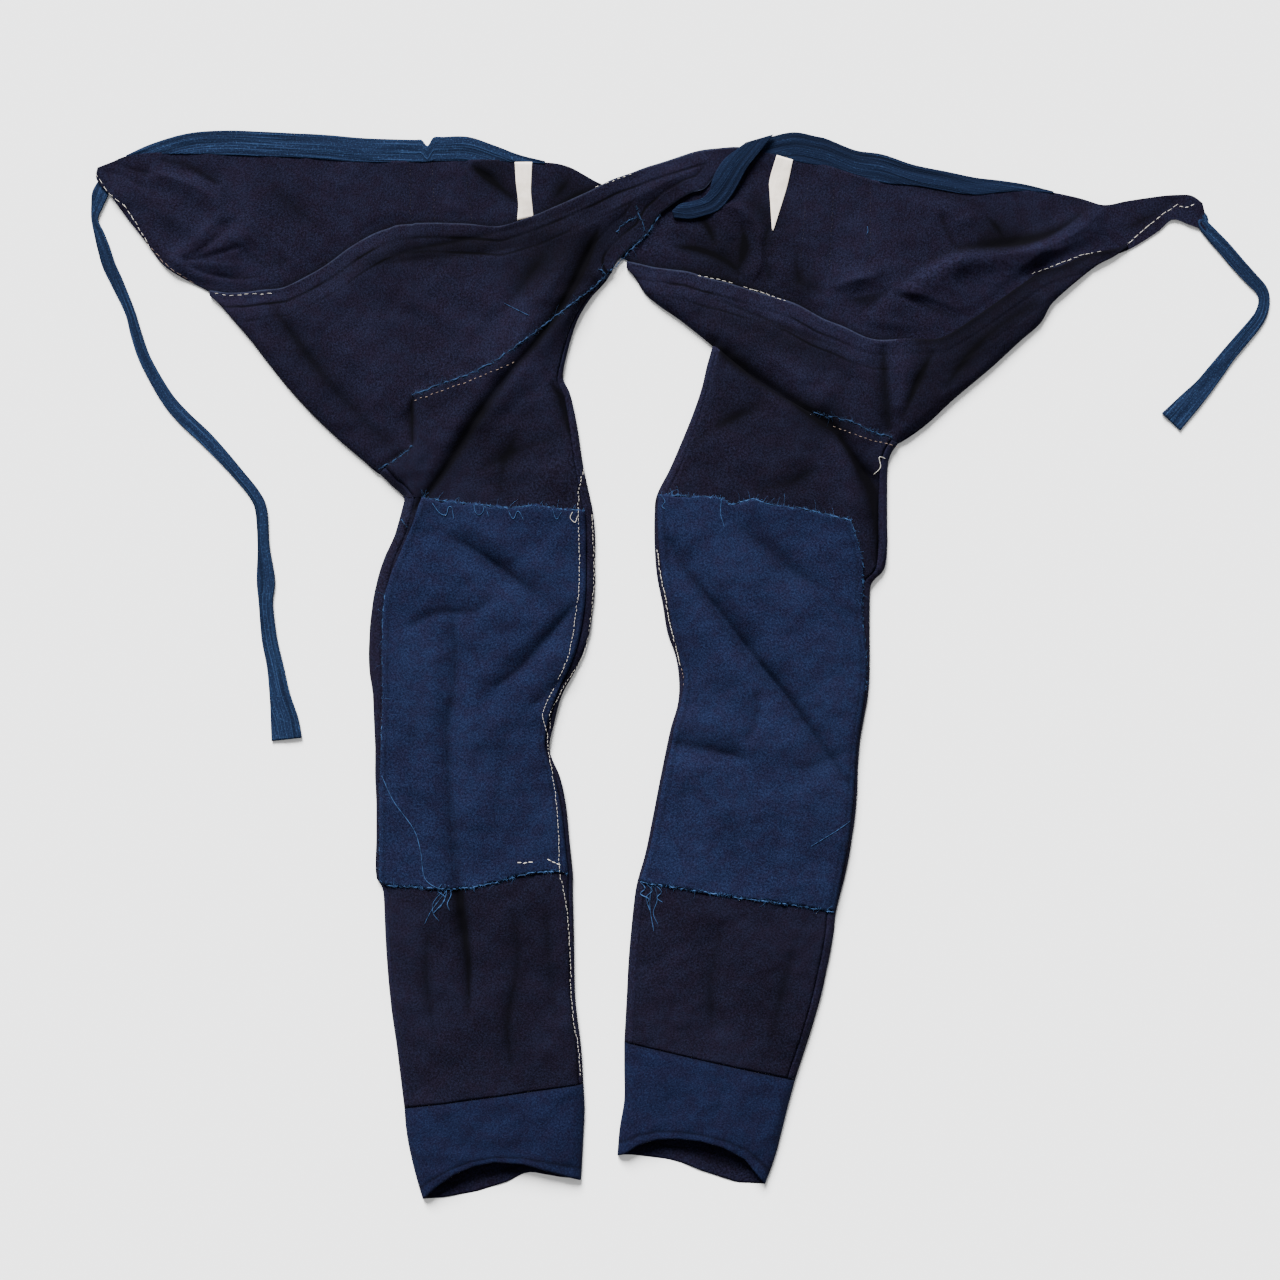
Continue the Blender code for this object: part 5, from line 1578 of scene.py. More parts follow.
def add_cloth(name, points, slot, wall=0.0, ring=False, turned=False, wear=None, hem=None, inner=None):
    """A grid of outer points as one cloth piece that stands for the node of its name.

    Faces join each row to the next. A ring joins its last column to its first. With a wall,
    Solidify gives the cloth its thickness on the inner side; without one, the ring's two ends
    are closed. The wall comes in metres and is scaled once more, so that it is a thousandth of
    what the panel says. inner is the finish given to the inner side, where one is given; the
    cuffs take the dark indigo there as painted shade. The layer "cloth" holds flat lengths,
    the next how far the cloth is worn pale and painted lighter (above 0), and darker by painted
    shade and an even darkness (below 0), and "hem" the millimetres from a hemmed edge.
    """
    rows, columns = points.shape[:2]
    index = np.arange(rows * columns).reshape(rows, columns)
    if ring:
        index = np.concatenate([index, index[:, :1]], axis=1)
    corners = [index[:-1, :-1], index[1:, :-1], index[1:, 1:], index[:-1, 1:]]
    faces = np.stack(corners, axis=-1).reshape(-1, 4)
    if turned:
        faces = faces[:, ::-1]
    faces = faces.tolist()
    if not wall:
        faces += [index[0, :-1].tolist(), index[-1, -2::-1].tolist()]
    mesh = bpy.data.meshes.new(name)
    mesh.from_pydata((points.reshape(-1, 3) * METRES_PER_MM).tolist(), [], faces)
    mesh.materials.append(finishes()[slot])
    place = cloth_lengths(points).reshape(-1, 2).astype(np.float32)
    corner = np.empty(len(mesh.loops), np.int32)
    mesh.loops.foreach_get("vertex_index", corner)
    mesh.uv_layers.new(name="cloth").data.foreach_set("uv", place[corner].ravel())
    worn = np.zeros(points.shape[:2]) if wear is None else wear
    far = np.full(points.shape[:2], NO_HEM) if hem is None else hem
    for key, values in (("wear", worn), ("hem", far)):
        layer = mesh.attributes.new(key, "FLOAT", "POINT")
        layer.data.foreach_set("value", values.astype(np.float32).ravel())
    piece = linked(name + "_cloth", mesh)
    if wall:
        solid = piece.modifiers.new("Wall", "SOLIDIFY")
        solid.thickness = wall * METRES_PER_MM
        solid.offset = -1.0
        solid.use_quality_normals = True
        if inner:
            mesh.materials.append(finishes()[inner])
            solid.material_offset = 1
    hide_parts(name)
    return piece


def mean_colour(colour, share, other):
    return tuple(a * (1.0 - share) + b * share for a, b in zip(colour, other))


def new_material(name, roughness, specular, sheen=0.0):
    """A matt shader with its constants set on its own sockets, and the tree it sits in."""
    material = bpy.data.materials.new(name + "_finish")
    material.use_nodes = True
    tree = material.node_tree
    shader = tree.nodes["Principled BSDF"]
    shader.inputs["Roughness"].default_value = roughness
    shader.inputs["Specular IOR Level"].default_value = specular
    shader.inputs["Sheen Weight"].default_value = sheen
    shader.inputs["Sheen Roughness"].default_value = 0.6
    return material, tree, shader


def noise(tree, vector, scale, detail, roughness=0.55):
    """Smooth random values of about that many waves a metre."""
    node = tree.nodes.new("ShaderNodeTexNoise")
    node.inputs["Scale"].default_value = scale
    node.inputs["Detail"].default_value = detail
    node.inputs["Roughness"].default_value = roughness
    tree.links.new(vector, node.inputs["Vector"])
    return node.outputs["Fac"]


def stretched(tree, vector, scale):
    """The vector with each axis multiplied, so that a pattern runs along the smallest."""
    node = tree.nodes.new("ShaderNodeMapping")
    node.inputs["Scale"].default_value = scale
    tree.links.new(vector, node.inputs["Vector"])
    return node.outputs["Vector"]


def ramp(tree, value, low, high, start=0.0, end=1.0):
    """start below low, end above high, and a smooth rise between."""
    node = tree.nodes.new("ShaderNodeMapRange")
    node.interpolation_type = "SMOOTHSTEP"
    for socket, number in (("From Min", low), ("From Max", high), ("To Min", start), ("To Max", end)):
        node.inputs[socket].default_value = number
    tree.links.new(value, node.inputs["Value"])
    return node.outputs["Result"]


def maths(tree, operation, first, second, clamp=False):
    node = tree.nodes.new("ShaderNodeMath")
    node.operation = operation
    node.use_clamp = clamp
    for socket, value in zip(node.inputs, (first, second)):
        if isinstance(value, (int, float)):
            socket.default_value = value
        else:
            tree.links.new(value, socket)
    return node.outputs["Value"]


def mixed(tree, share, first, second, blend="MIX"):
    """Two colours mixed by a share, each a colour or a socket."""
    node = tree.nodes.new("ShaderNodeMix")
    node.data_type = "RGBA"
    node.blend_type = blend
    for socket, value in ((node.inputs[6], first), (node.inputs[7], second)):
        if isinstance(value, tuple):
            socket.default_value = (*value, 1.0)
        else:
            tree.links.new(value, socket)
    if isinstance(share, float):
        node.inputs[0].default_value = share
    else:
        tree.links.new(share, node.inputs[0])
    return node.outputs[2]


def bumped(tree, shader, height, distance, strength):
    node = tree.nodes.new("ShaderNodeBump")
    node.inputs["Distance"].default_value = distance
    node.inputs["Strength"].default_value = strength
    tree.links.new(height, node.inputs["Height"])
    tree.links.new(node.outputs["Normal"], shader.inputs["Normal"])


def object_place(tree):
    """Where a point of the piece lies, in metres."""
    return tree.nodes.new("ShaderNodeTexCoord").outputs["Object"]


def layer_values(tree, name):
    """The values of one of the cloth's own layers."""
    node = tree.nodes.new("ShaderNodeAttribute")
    node.attribute_name = name
    return node.outputs["Fac"]


def cloth_layer(tree):
    node = tree.nodes.new("ShaderNodeUVMap")
    node.uv_map = "cloth"
    return node.outputs["UV"]


def plain_weave(tree, cloth, threads):
    """Height of a plain weave: warp and weft waves multiplied, with uneven yarn."""
    across_yarn = noise(tree, stretched(tree, cloth, (threads, threads / 2.5, 1.0)), 1.0, 1.0)
    down_yarn = noise(tree, stretched(tree, cloth, (threads / 2.5, threads, 1.0)), 1.0, 1.0)
    return maths(tree, "ADD", across_yarn, down_yarn)


def indigo_material(name, dye, worn, speckle, fade):
    """Indigo plain weave, matt.

    Pale specks sit where warp and weft yarns are both thick. Broad noise fades the dye in
    clouds, smaller ones turn it to violet, streaks of yarn run down the cloth, and the layer
    of worn and painted light makes ridges pale, worn and with a painted highlight, and puts
    painted shade in grooves. The hem layer, in millimetres from a free edge, gives the edge its
    thin painted highlight and the hem its two lines of painted shade.
    """
    material, tree, shader = new_material(name, 0.95, 0.04, 0.02)
    shader.inputs["Sheen Tint"].default_value = (*worn, 1.0)
    cloth = cloth_layer(tree)
    weave = plain_weave(tree, cloth, INDIGO_THREADS)
    specks = ramp(tree, weave, 0.9, 1.3, 0.0, speckle)
    grain = ramp(tree, noise(tree, cloth, 520.0, 4.0, 0.7), 0.4, 0.64, 0.0, 0.95 * speckle)
    place = object_place(tree)
    clouds = ramp(tree, noise(tree, place, 11.0, 5.0, 0.62), 0.4, 0.7, 0.0, fade)
    yarns = noise(tree, stretched(tree, cloth, (900.0, 60.0, 1.0)), 1.0, 3.0)
    yarns = ramp(tree, yarns, 0.5, 0.8, 0.0, fade * 0.6)
    wear = layer_values(tree, "wear")
    # Worn pale and painted highlights from the layer above zero, broken up by noise.
    pale_worn_and_lit = noise(tree, place, 420.0, 3.0)
    pale_worn_and_lit = maths(tree, "MULTIPLY", ramp(tree, pale_worn_and_lit, 0.4, 0.62), wear, clamp=True)
    pale = maths(tree, "ADD", clouds, maths(tree, "ADD", yarns, grain), clamp=True)
    pale = maths(tree, "MAXIMUM", pale, pale_worn_and_lit)
    hem = layer_values(tree, "hem")
    # Painted highlight along a hemmed free edge, broken up by noise.
    rim = maths(tree, "MULTIPLY", ramp(tree, hem, 0.4, 1.8, 1.0, 0.0), noise(tree, place, 120.0, 4.0))
    faded = ramp(tree, noise(tree, place, 24.0, 1.0), 0.38, 0.6, 0.15, 1.0)
    pale = maths(tree, "ADD", maths(tree, "MULTIPLY", pale, 0.7), specks, clamp=True)
    colour = mixed(tree, pale, dye, worn)
    violet = ramp(tree, noise(tree, place, 70.0, 6.0, 0.75), 0.42, 0.6, 0.0, VIOLET_SHARE)
    colour = mixed(tree, violet, colour, VIOLET, "MULTIPLY")
    colour = mixed(tree, maths(tree, "MULTIPLY", rim, RIM_HIGHLIGHT), colour, RIM_HIGHLIGHT_COLOUR)
    # Painted shade and even darkness from the layer below zero.
    shade = maths(tree, "MULTIPLY", wear, -DARK_LAYER_SHARE, clamp=True)
    # Painted shade along the hem's sewn groove and its pressed line.
    for line, depth in HEM_SHADE_LINES:
        away = maths(tree, "ABSOLUTE", maths(tree, "SUBTRACT", hem, line), 0.0)
        mark = maths(tree, "MULTIPLY", ramp(tree, away, 0.3, 1.6, depth, 0.0), faded)
        shade = maths(tree, "ADD", shade, mark, clamp=True)
    colour = mixed(tree, shade, colour, DARKEST)
    tree.links.new(colour, shader.inputs["Base Color"])
    bumped(tree, shader, weave, 0.00035, 0.55)
    return material


def slub_material(name, dye, pale):
    """Blue tape of uneven yarn: painted shade along lengthwise folds, which the bump also sinks, pale streaks,
    short slubs, fine weave.
    """
    material, tree, shader = new_material(name, 0.95, 0.05, 0.02)
    shader.inputs["Sheen Tint"].default_value = (*pale, 1.0)
    cloth = cloth_layer(tree)
    streaks = noise(tree, stretched(tree, cloth, (900.0, 14.0, 1.0)), 1.0, 3.0)
    streaks = ramp(tree, streaks, 0.46, 0.72)
    slubs = noise(tree, stretched(tree, cloth, (620.0, 60.0, 1.0)), 1.0, 2.0)
    slubs = ramp(tree, slubs, 0.62, 0.78)
    # Painted shade along lengthwise folds; the bump below sinks them too.
    bands = noise(tree, stretched(tree, cloth, (230.0, 5.0, 1.0)), 1.0, 2.0)
    lines = ramp(tree, bands, 0.48, 0.64, 0.0, 0.55)
    weave = plain_weave(tree, cloth, BAND_THREADS)
    specks = ramp(tree, weave, 1.05, 1.3, 0.0, 0.5)
    slubs = maths(tree, "MULTIPLY", slubs, 0.6)
    share = maths(tree, "MAXIMUM", maths(tree, "MULTIPLY", streaks, 0.5), slubs)
    share = maths(tree, "MULTIPLY", maths(tree, "ADD", share, specks, clamp=True), 0.85)
    wear = layer_values(tree, "wear")
    share = maths(tree, "ADD", share, wear, clamp=True)
    shade = maths(tree, "SUBTRACT", lines, wear, clamp=True)
    dark = mean_colour(dye, 0.6, (0.0, 0.0, 0.0))
    colour = mixed(tree, shade, mixed(tree, share, dye, pale), dark)
    tree.links.new(colour, shader.inputs["Base Color"])
    ribs = maths(tree, "SUBTRACT", maths(tree, "ADD", weave, streaks), lines)
    bumped(tree, shader, ribs, 0.0005, 0.7)
    return material


def tape_material(name, colour, soiled):
    """Cream cotton tape: fine lengthwise ribs, soiled unevenly."""
    material, tree, shader = new_material(name, 0.9, 0.15)
    cloth = cloth_layer(tree)
    ribs = noise(tree, stretched(tree, cloth, (1400.0, 60.0, 1.0)), 1.0, 2.0)
    place = object_place(tree)
    soil = ramp(tree, noise(tree, place, 120.0, 4.0), 0.45, 0.7, 0.0, 0.6)
    ribbed = mixed(tree, ramp(tree, ribs, 0.35, 0.65, 0.25, 0.0), colour, soiled)
    tree.links.new(mixed(tree, soil, ribbed, soiled), shader.inputs["Base Color"])
    bumped(tree, shader, ribs, 0.0003, 0.5)
    return material


def thread_material(name, colour, dark):
    """Spun thread: its colour varies along it, down to the darker of two."""
    material, tree, shader = new_material(name, 0.9, 0.1)
    place = object_place(tree)
    share = ramp(tree, noise(tree, place, 260.0, 3.0), 0.4, 0.66)
    tree.links.new(mixed(tree, share, colour, dark), shader.inputs["Base Color"])
    return material


def worn_and_shaded_creases(creases, x, y):
    """Worn pale with a painted highlight on the ridges, painted shade along the narrow floor of each trough.
    """
    broad, core = crease_relief(creases, x, y), crease_relief(creases, x, y, TROUGH_NARROWED)
    return RIDGE_SHARE * np.clip(broad, *RIDGE_HEIGHTS) + TROUGH_SHARE * np.clip(core, *TROUGH_HEIGHTS)


def side_wear(half, x, y):
    """Worn pale, with a painted highlight, along the folded sides."""
    return SIDE_PALENESS * smooth_bell(side_distance(half, x, y), *SIDE_BELL)


def hip_shares(half, x, y):
    """How far each point lies on the hip, and how far where the back laps over the front."""
    return smooth_step(y, *half["hem_from_y"]), smooth_step(x, *half["lapped_from_x"])


def front_wear(half, points):
    """Worn pale and painted highlights along folded sides and ridges, a painted highlight on the turned lip of
    a scoop, painted shade in creases.

    Where the back laps over the front, the front's edge lies in its shade.
    """
    x, y = points[..., 0], points[..., 1]
    edge_away = distance_to_line(half["free_edge"], x, y)
    on_hip, lapped = hip_shares(half, x, y)
    # Painted highlight along the turned lip; where the back laps over, painted shade instead.
    lip = LIP_HIGHLIGHT * smooth_bell(edge_away, *LIP_BELL) * (1.0 - lapped)
    edge_shade = LAPPED_EDGE_SHADE * np.exp(-edge_away / LAPPED_EDGE_WIDTH)
    lip = lip - (LAPPED_SHADE + edge_shade) * lapped
    ridge = worn_and_shaded_creases(half["creases"], x, y)
    # Painted light and shade from the tables.
    tones = PAINTED_LIGHT_STRENGTH * crease_relief(half["front_tones"], x, y)
    return lip * on_hip + ridge + side_wear(half, x, y) + tones


def hem_distance(half, points):
    """Millimetres from the free edge of a scoop, and far more where no hem shows."""
    x, y = points[..., 0], points[..., 1]
    on_hip, lapped = hip_shares(half, x, y)
    return distance_to_line(half["free_edge"], x, y) + NO_HEM * (1.0 - on_hip + lapped)


def back_wear(half, points):
    """Worn pale and painted highlights on ridges, painted shade in troughs, and painted shade where the
    front's edge casts its shade.

    Where the back laps over the front it has painted light along that edge instead.
    """
    x, y = points[..., 0], points[..., 1]
    relief = worn_and_shaded_creases(half["back_creases"], x, y)
    relief = relief + FOLD_SHARE * np.clip(fold_relief(half["back_folds"], x, y), *RIDGE_HEIGHTS)
    shows = y - np.interp(x, half["edge"][:, 0], half["edge"][:, 1])
    beyond = np.maximum(shows, 0.0)
    # Painted shade just beyond the front's free edge; where the back laps over, painted light along it
    # instead.
    shade = EDGE_SHADE * smooth_bell(beyond, *EDGE_SHADE_BELL)
    lapped = hip_shares(half, x, y)[1]
    shade = shade * (1.0 - lapped) - LAPPED_RIM * smooth_bell(beyond, *LAPPED_RIM_BELL) * lapped
    # Painted light and shade from the tables.
    relief = relief + PAINTED_LIGHT_STRENGTH * crease_relief(half["back_tones"], x, y)
    return relief - shade


def rim_wear(points, pale, rows_dark):
    """Pale noise toward all four edges of a grid, and a dark line just inside its long sides."""
    rows, columns = points.shape[:2]
    v = np.minimum(np.arange(rows), np.arange(rows)[::-1])[:, None]
    u = np.minimum(np.arange(columns), np.arange(columns)[::-1])[None]
    return pale * np.exp(-np.minimum(u, v) / 1.6) - rows_dark * smooth_bell(u + 0 * v, 2.0, 0.8)


def finishes():
    """All the materials by name, made once from the colours in the panel."""
    found = {key: bpy.data.materials.get(key + "_finish") for key in FINISHES}
    if all(found.values()):
        return found
    cloth = bpy.context.scene.momohiki_cloth
    dark, patch, band = tuple(cloth.dark_dye), tuple(cloth.patch_dye), tuple(cloth.band_dye)
    worn, fray = tuple(cloth.worn_blue), tuple(cloth.frayed_blue)
    cream, tape = tuple(cloth.thread), tuple(cloth.tape)
    pale = mean_colour(patch, PATCH_YARN_SHARE, PATCH_YARN)
    grey = mean_colour(dark, DARK_YARN_SHARE, DARK_YARN)
    cuff_pale = mean_colour(pale, 0.25, patch)
    seam = mean_colour(fray, 0.55, dark)
    return {
        "dark_indigo": indigo_material("dark_indigo", dark, grey, 0.74, 0.38),
        "patch_indigo": indigo_material("patch_indigo", patch, pale, 0.76, 0.24),
        "cuff_indigo": indigo_material("cuff_indigo", patch, cuff_pale, 0.7, 0.14),
        "band_blue": slub_material("band_blue", band, worn),
        "tape_cream": tape_material("tape_cream", tape, mean_colour(tape, 0.5, SOIL)),
        "cream": thread_material("cream", cream, mean_colour(cream, 0.5, THREAD_SOIL)),
        "tan": thread_material("tan", TAN, DARK_TAN),
        "dull": thread_material("dull", DULL, dark),
        "fray": thread_material("fray", fray, mean_colour(fray, 0.7, dark)),
        "seam_fray": thread_material("seam_fray", seam, mean_colour(fray, 0.85, dark)),
        "patch": thread_material("patch", mean_colour(patch, 0.25, fray), patch),
    }


def add_sheet(name, points, slot, rests_on, wall=0.0, **more):
    """One cloth piece with its finish."""
    piece = add_cloth(name, points, slot, wall, **more)
    return piece


def panel_colour(name, description, default):
    """A colour in the panel, each channel from 0 to 1."""
    return FloatVectorProperty(
        name=name, description=description, default=default, size=3, min=0.0, max=1.0, subtype="COLOR"
    )


class MomohikiCloth(bpy.types.PropertyGroup):
    """Sizes and colours of the cloth."""

    wall: FloatProperty(
        name="Cloth Thickness",
        description="Thickness of one layer of the dark cloth",
        default=0.001,
        min=0.0004,
        max=0.0013,
        unit="LENGTH",
    )
    patch_wall: FloatProperty(
        name="Patch Thickness",
        description="Thickness of the knee patches",
        default=0.0009,
        min=0.0004,
        max=0.0012,
        unit="LENGTH",
    )
    rumple: FloatProperty(
        name="Rumple Height",
        description="Height of the low waves all over the cloth, between the larger creases",
        default=0.0006,
        min=0.0,
        max=0.001,
        unit="LENGTH",
    )
    dark_dye: panel_colour("Dark Indigo", "Near-black blue of the legs and hips", (0.0014, 0.0010, 0.0033))
    patch_dye: panel_colour("Patch Indigo", "Mid blue of the knee patches and cuffs", (0.0017, 0.0022, 0.0098))
    band_dye: panel_colour("Band Blue", "Ground colour of the waistband and ties", (0.0040, 0.0076, 0.0215))
    worn_blue: panel_colour("Worn Blue", "Pale slubs of the waistband and ties", (0.022, 0.049, 0.116))
    frayed_blue: panel_colour("Frayed Blue", "Light blue of the frayed edges", (0.026, 0.062, 0.15))
    thread: panel_colour("Sewing Thread", "Off-white of the stitches", (0.56, 0.53, 0.47))
    tape: panel_colour("Tape", "Cream of the two tape tabs", (0.68, 0.61, 0.54))


class MomohikiStage(bpy.types.PropertyGroup):
    """Floor, light and camera."""

    floor_colour: panel_colour("Floor", "Pale grey of the plain floor", (0.92, 0.925, 0.93))
    key_power: FloatProperty(
        name="Soft Light",
        description="Strength of the wide light from beyond the waist",
        default=17.6,
        min=0.0,
        max=50.0,
    )
    softness: FloatProperty(
        name="Softness",
        description="How wide the light is, seen from the floor",
        default=0.5,
        min=0.0,
        max=3.0,
        subtype="ANGLE",
    )
    surround: FloatProperty(
        name="Surround",
        description="Strength of the even light from all sides",
        default=0.55,
        min=0.0,
        max=5.0,
    )
    camera_height: FloatProperty(
        name="Camera Height",
        description="Height of the camera over the floor",
        default=1.95,
        min=0.5,
        max=20.0,
        unit="LENGTH",
    )


class MOMOHIKI_OT_hip_backs(bpy.types.Operator):
    """Build the two hip backs, whose inner faces show round the scooped fronts"""

    bl_idname = "momohiki.hip_backs"
    bl_label = "Hip Backs"
    bl_options = {"REGISTER", "UNDO"}

    def execute(self, context):
        wall = context.scene.momohiki_cloth.wall * BACK_WALL_SHARE
        for side, half in halves().items():
            points = hip_back_points(half)
            # Worn pale, painted highlights, painted light and painted shade.
            add_sheet(
                side + "_hip_back", points, "dark_indigo", ["ground"], wall, wear=back_wear(half, points)
            )
        return {"FINISHED"}


class MOMOHIKI_OT_hip_fronts(bpy.types.Operator):
    """Build the two wrapped hip fronts with their narrow hems and the crossing strip"""

    bl_idname = "momohiki.hip_fronts"
    bl_label = "Hip Fronts"
    bl_options = {"REGISTER", "UNDO"}

    def execute(self, context):
        wall = context.scene.momohiki_cloth.wall
        for side, half in halves().items():
            points = hip_front_points(half)
            # Worn pale, painted highlights and painted shade, less an even darkness.
            wear = front_wear(half, points) - HIP_DARKNESS
            below = [side + "_hip_back_cloth"]
            hem = hem_distance(half, points)
            add_sheet(side + "_hip_front", points, "dark_indigo", below, wall, wear=wear, hem=hem)
        return {"FINISHED"}


class MOMOHIKI_OT_legs(bpy.types.Operator):
    """Build the front and back of both legs, joined along the seams inside the outline"""

    bl_idname = "momohiki.legs"
    bl_label = "Legs"
    bl_options = {"REGISTER", "UNDO"}

    def execute(self, context):
        wall = context.scene.momohiki_cloth.wall
        for side, half in halves().items():
            points = leg_back_points(half)
            # Worn pale with a painted highlight along the folded sides.
            wear = side_wear(half, points[..., 0], points[..., 1])
            add_sheet(
                side + "_leg_back", points, "dark_indigo", ["ground"], wall * BACK_WALL_SHARE,
                turned=True, wear=wear,
            )
            points = leg_front_points(half)
            # Worn pale, painted highlights and painted shade, less an even darkness.
            wear = front_wear(half, points) - LEG_DARKNESS
            below = [side + "_leg_back_cloth"]
            add_sheet(side + "_leg_front", points, "dark_indigo", below, wall, wear=wear)
        return {"FINISHED"}


class MOMOHIKI_OT_knee_patches(bpy.types.Operator):
    """Build the two knee patches with raw upper and lower edges"""

    bl_idname = "momohiki.knee_patches"
    bl_label = "Knee Patches"
    bl_options = {"REGISTER", "UNDO"}

    def execute(self, context):
        wall = context.scene.momohiki_cloth.patch_wall
        for side, half in halves().items():
            points = patch_points(half)
            rim = rim_wear(points, PATCH_RIM, PATCH_SIDE_LINE)
            # The front's worn pale, painted highlights and painted shade, weaker, with the patch's rim.
            wear = PATCH_WEAR_AND_LIGHT_SHARE * front_wear(half, points) + rim
            below = [side + "_leg_front_cloth"]
            add_sheet(side + "_knee_patch", points, "patch_indigo", below, wall, wear=wear)
        return {"FINISHED"}


class MOMOHIKI_OT_cuffs(bpy.types.Operator):
    """Build the two cuffs, closed tubes with an open hem"""

    bl_idname = "momohiki.cuffs"
    bl_label = "Cuffs"
    bl_options = {"REGISTER", "UNDO"}

    def execute(self, context):
        wall = context.scene.momohiki_cloth.wall
        for side, half in halves().items():
            points = cuff_points(half)
            down = np.linspace(CUFF_LENGTH, 0.0, len(points))[:, None] + 0.0 * points[..., 0]
            # Pale at the hem's edge, dark along the sewn hem line and the seam to the leg.
            wear = sum(strength * smooth_bell(down, *bell) for strength, *bell in CUFF_EDGE_MARKS)
            # The inner side takes the dark indigo: painted shade inside the cuff.
            add_sheet(
                side + "_cuff", points, "cuff_indigo", ["ground"], wall,
                ring=True, wear=wear, inner="dark_indigo",
            )
        return {"FINISHED"}


class MOMOHIKI_OT_waistbands(bpy.types.Operator):
    """Build the doubled waistbands of slubby blue cloth, and the end that curls down"""

    bl_idname = "momohiki.waistbands"
    bl_label = "Waistbands"
    bl_options = {"REGISTER", "UNDO"}

    def execute(self, context):
        for side, half in halves().items():
            points = waistband_points(half)
            wear = np.full(points.shape[:2], -half["band_darkness"])
            add_sheet(side + "_waistband", points, "band_blue", ["ground"], ring=True, wear=wear)
        points = band_end_points(WAISTBAND_END)
        wear = np.full(points.shape[:2], -half["band_darkness"])
        below = ["left_hip_front_cloth"]
        add_sheet("right_waistband_end", points, "band_blue", below, ring=True, wear=wear)
        return {"FINISHED"}


class MOMOHIKI_OT_ties(bpy.types.Operator):
    """Build the two long ties, which run off the waist corners and turn on themselves"""

    bl_idname = "momohiki.ties"
    bl_label = "Ties"
    bl_options = {"REGISTER", "UNDO"}

    def execute(self, context):
        for side, rows in (("left", LEFT_TIE), ("right", RIGHT_TIE)):
            points = tie_points(rows, TIE_SEEDS[side])
            add_sheet(side + "_tie", points, "band_blue", ["ground"], ring=True)
        return {"FINISHED"}


class MOMOHIKI_OT_tape_tabs(bpy.types.Operator):
    """Build the two short cream tapes sewn below the waistband"""

    bl_idname = "momohiki.tape_tabs"
    bl_label = "Tape Tabs"
    bl_options = {"REGISTER", "UNDO"}

    def execute(self, context):
        for side, half in halves().items():
            points = tab_points(half, half["tab"])
            add_sheet(side + "_tape_tab", points, "tape_cream", [side + "_hip_back_cloth"], ring=True)
        return {"FINISHED"}


class MOMOHIKI_OT_sewing(bpy.types.Operator):
    """Build the stitches that show, one by one along their lines"""

    bl_idname = "momohiki.sewing"
    bl_label = "Sewing"
    bl_options = {"REGISTER", "UNDO"}

    def execute(self, context):
        for side, half in halves().items():
            chance = np.random.default_rng(half["seed"] + SEWING_SEED)
            rows = [stitch_tubes(half, row, chance) for row in half["sewing"]]
            add_threads(side + "_sewing", [(*row, STITCH_SIDES) for row in rows], finishes())
        return {"FINISHED"}


class MOMOHIKI_OT_frayed_edges(bpy.types.Operator):
    """Build the frayed cords along the raw seams, and the fibres of the raw patch edges"""

    bl_idname = "momohiki.frayed_edges"
    bl_label = "Frayed Edges"
    bl_options = {"REGISTER", "UNDO"}

    def execute(self, context):
        for side, half in halves().items():
            chance = np.random.default_rng(half["seed"] + FRAY_SEED)
            groups = [group for row in half["frays"] for group in fray_tubes(half, row, chance)]
            top, bottom = half["patch"][:2]
            groups += edge_fibres(half, top, 1.0, chance)
            groups += edge_fibres(half, bottom, -1.0, chance)
            add_threads(side + "_frays", groups, finishes())
        return {"FINISHED"}


class MOMOHIKI_OT_loose_threads(bpy.types.Operator):
    """Build the loose threads that lie on the cloth"""

    bl_idname = "momohiki.loose_threads"
    bl_label = "Loose Threads"
    bl_options = {"REGISTER", "UNDO"}

    def execute(self, context):
        for side, half in halves().items():
            rows = [loose_tubes(half, row) for row in half["threads"]]
            add_threads(side + "_threads", [(*row, STITCH_SIDES) for row in rows], finishes())
        return {"FINISHED"}


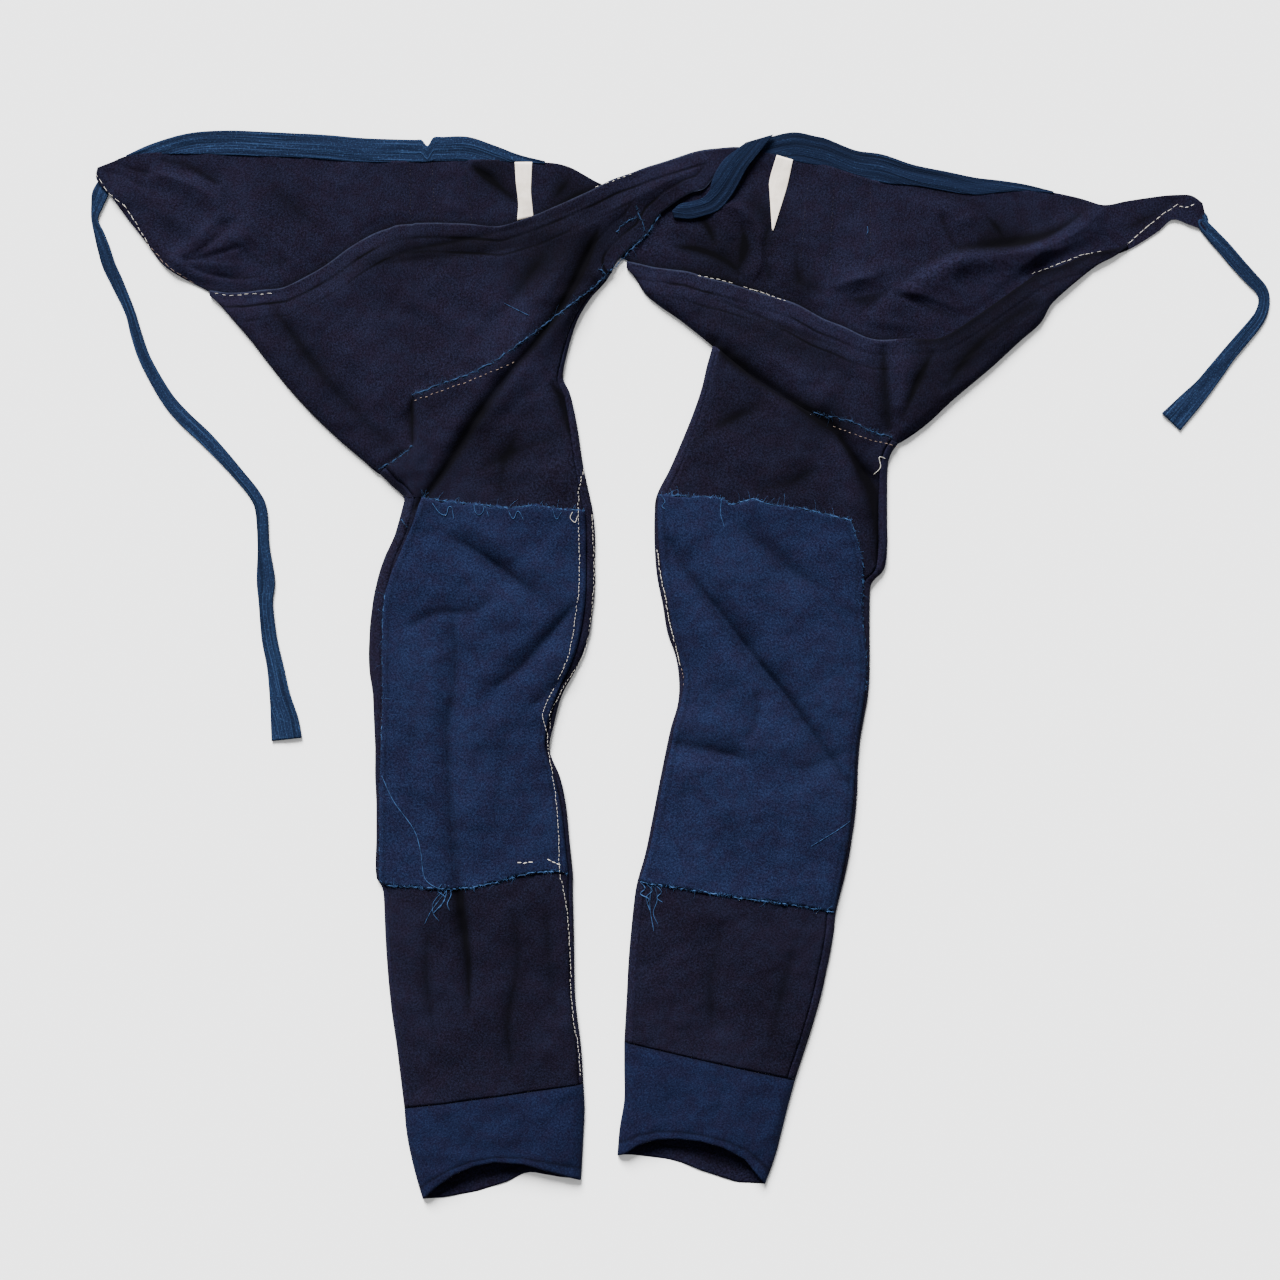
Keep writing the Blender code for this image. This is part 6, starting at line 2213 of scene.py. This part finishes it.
class MOMOHIKI_OT_stage(bpy.types.Operator):
    """Build the plain floor, the soft light and the camera"""

    bl_idname = "momohiki.stage"
    bl_label = "Stage"
    bl_options = {"REGISTER", "UNDO"}

    def execute(self, context):
        stage = context.scene.momohiki_stage
        half = FLOOR_SIZE / 2.0
        corners = [(-half, -half), (half, -half), (half, half), (-half, half)]
        mesh = bpy.data.meshes.new("ground")
        mesh.from_pydata([(x, y, FLOOR_HEIGHT) for x, y in corners], [], [(0, 1, 2, 3)])
        material, _, shader = new_material("ground", 0.95, 0.1)
        shader.inputs["Base Color"].default_value = (*stage.floor_colour, 1.0)
        mesh.materials.append(material)
        ground = bpy.data.objects.new("ground", mesh)
        context.scene.collection.objects.link(ground)
        light = bpy.data.lights.new("soft_light", "SUN")
        light.angle = stage.softness
        light.energy = stage.key_power
        lamp = bpy.data.objects.new("soft_light", light)
        lamp.rotation_euler = Vector(LIGHT_FROM).to_track_quat("Z", "Y").to_euler()
        context.scene.collection.objects.link(lamp)
        world = bpy.data.worlds.new("surround")
        world.use_nodes = True
        world.node_tree.nodes["Background"].inputs["Color"].default_value = (1.0, 1.0, 1.0, 1.0)
        world.node_tree.nodes["Background"].inputs["Strength"].default_value = stage.surround
        context.scene.world = world
        lens = bpy.data.cameras.new("camera")
        lens.sensor_width = SENSOR
        lens.lens = SENSOR * stage.camera_height / VIEW_WIDTH
        camera = bpy.data.objects.new("camera", lens)
        camera.location = (*VIEW_CENTRE, stage.camera_height)
        context.scene.collection.objects.link(camera)
        context.scene.camera = camera
        return {"FINISHED"}


class MOMOHIKI_PT_panel(bpy.types.Panel):
    """Lists the steps that build the work pants"""

    bl_idname = "MOMOHIKI_PT_panel"
    bl_label = "Momohiki Work Pants"
    bl_space_type = "VIEW_3D"
    bl_region_type = "UI"
    bl_category = "Momohiki"

    def draw(self, context):
        layout = self.layout
        for group in (context.scene.momohiki_cloth, context.scene.momohiki_stage):
            box = layout.box()
            for key in group.__annotations__:
                box.prop(group, key)
        for step in STEPS:
            layout.operator(step.bl_idname)


STEPS = (
    MOMOHIKI_OT_hip_backs,
    MOMOHIKI_OT_hip_fronts,
    MOMOHIKI_OT_legs,
    MOMOHIKI_OT_knee_patches,
    MOMOHIKI_OT_cuffs,
    MOMOHIKI_OT_waistbands,
    MOMOHIKI_OT_ties,
    MOMOHIKI_OT_tape_tabs,
    MOMOHIKI_OT_sewing,
    MOMOHIKI_OT_frayed_edges,
    MOMOHIKI_OT_loose_threads,
    MOMOHIKI_OT_stage,
)
CLASSES = (MomohikiCloth, MomohikiStage, *STEPS, MOMOHIKI_PT_panel)


def register():
    for cls in CLASSES:
        bpy.utils.register_class(cls)
    bpy.types.Scene.momohiki_cloth = PointerProperty(type=MomohikiCloth)
    bpy.types.Scene.momohiki_stage = PointerProperty(type=MomohikiStage)


def unregister():
    del bpy.types.Scene.momohiki_stage
    del bpy.types.Scene.momohiki_cloth
    for cls in reversed(CLASSES):
        bpy.utils.unregister_class(cls)


def main():
    """Register the steps, then run every step in order."""
    register()
    bpy.ops.momohiki.hip_backs()
    bpy.ops.momohiki.hip_fronts()
    bpy.ops.momohiki.legs()
    bpy.ops.momohiki.knee_patches()
    bpy.ops.momohiki.cuffs()
    bpy.ops.momohiki.waistbands()
    bpy.ops.momohiki.ties()
    bpy.ops.momohiki.tape_tabs()
    bpy.ops.momohiki.sewing()
    bpy.ops.momohiki.frayed_edges()
    bpy.ops.momohiki.loose_threads()
    bpy.ops.momohiki.stage()


if __name__ == "__main__":
    main()
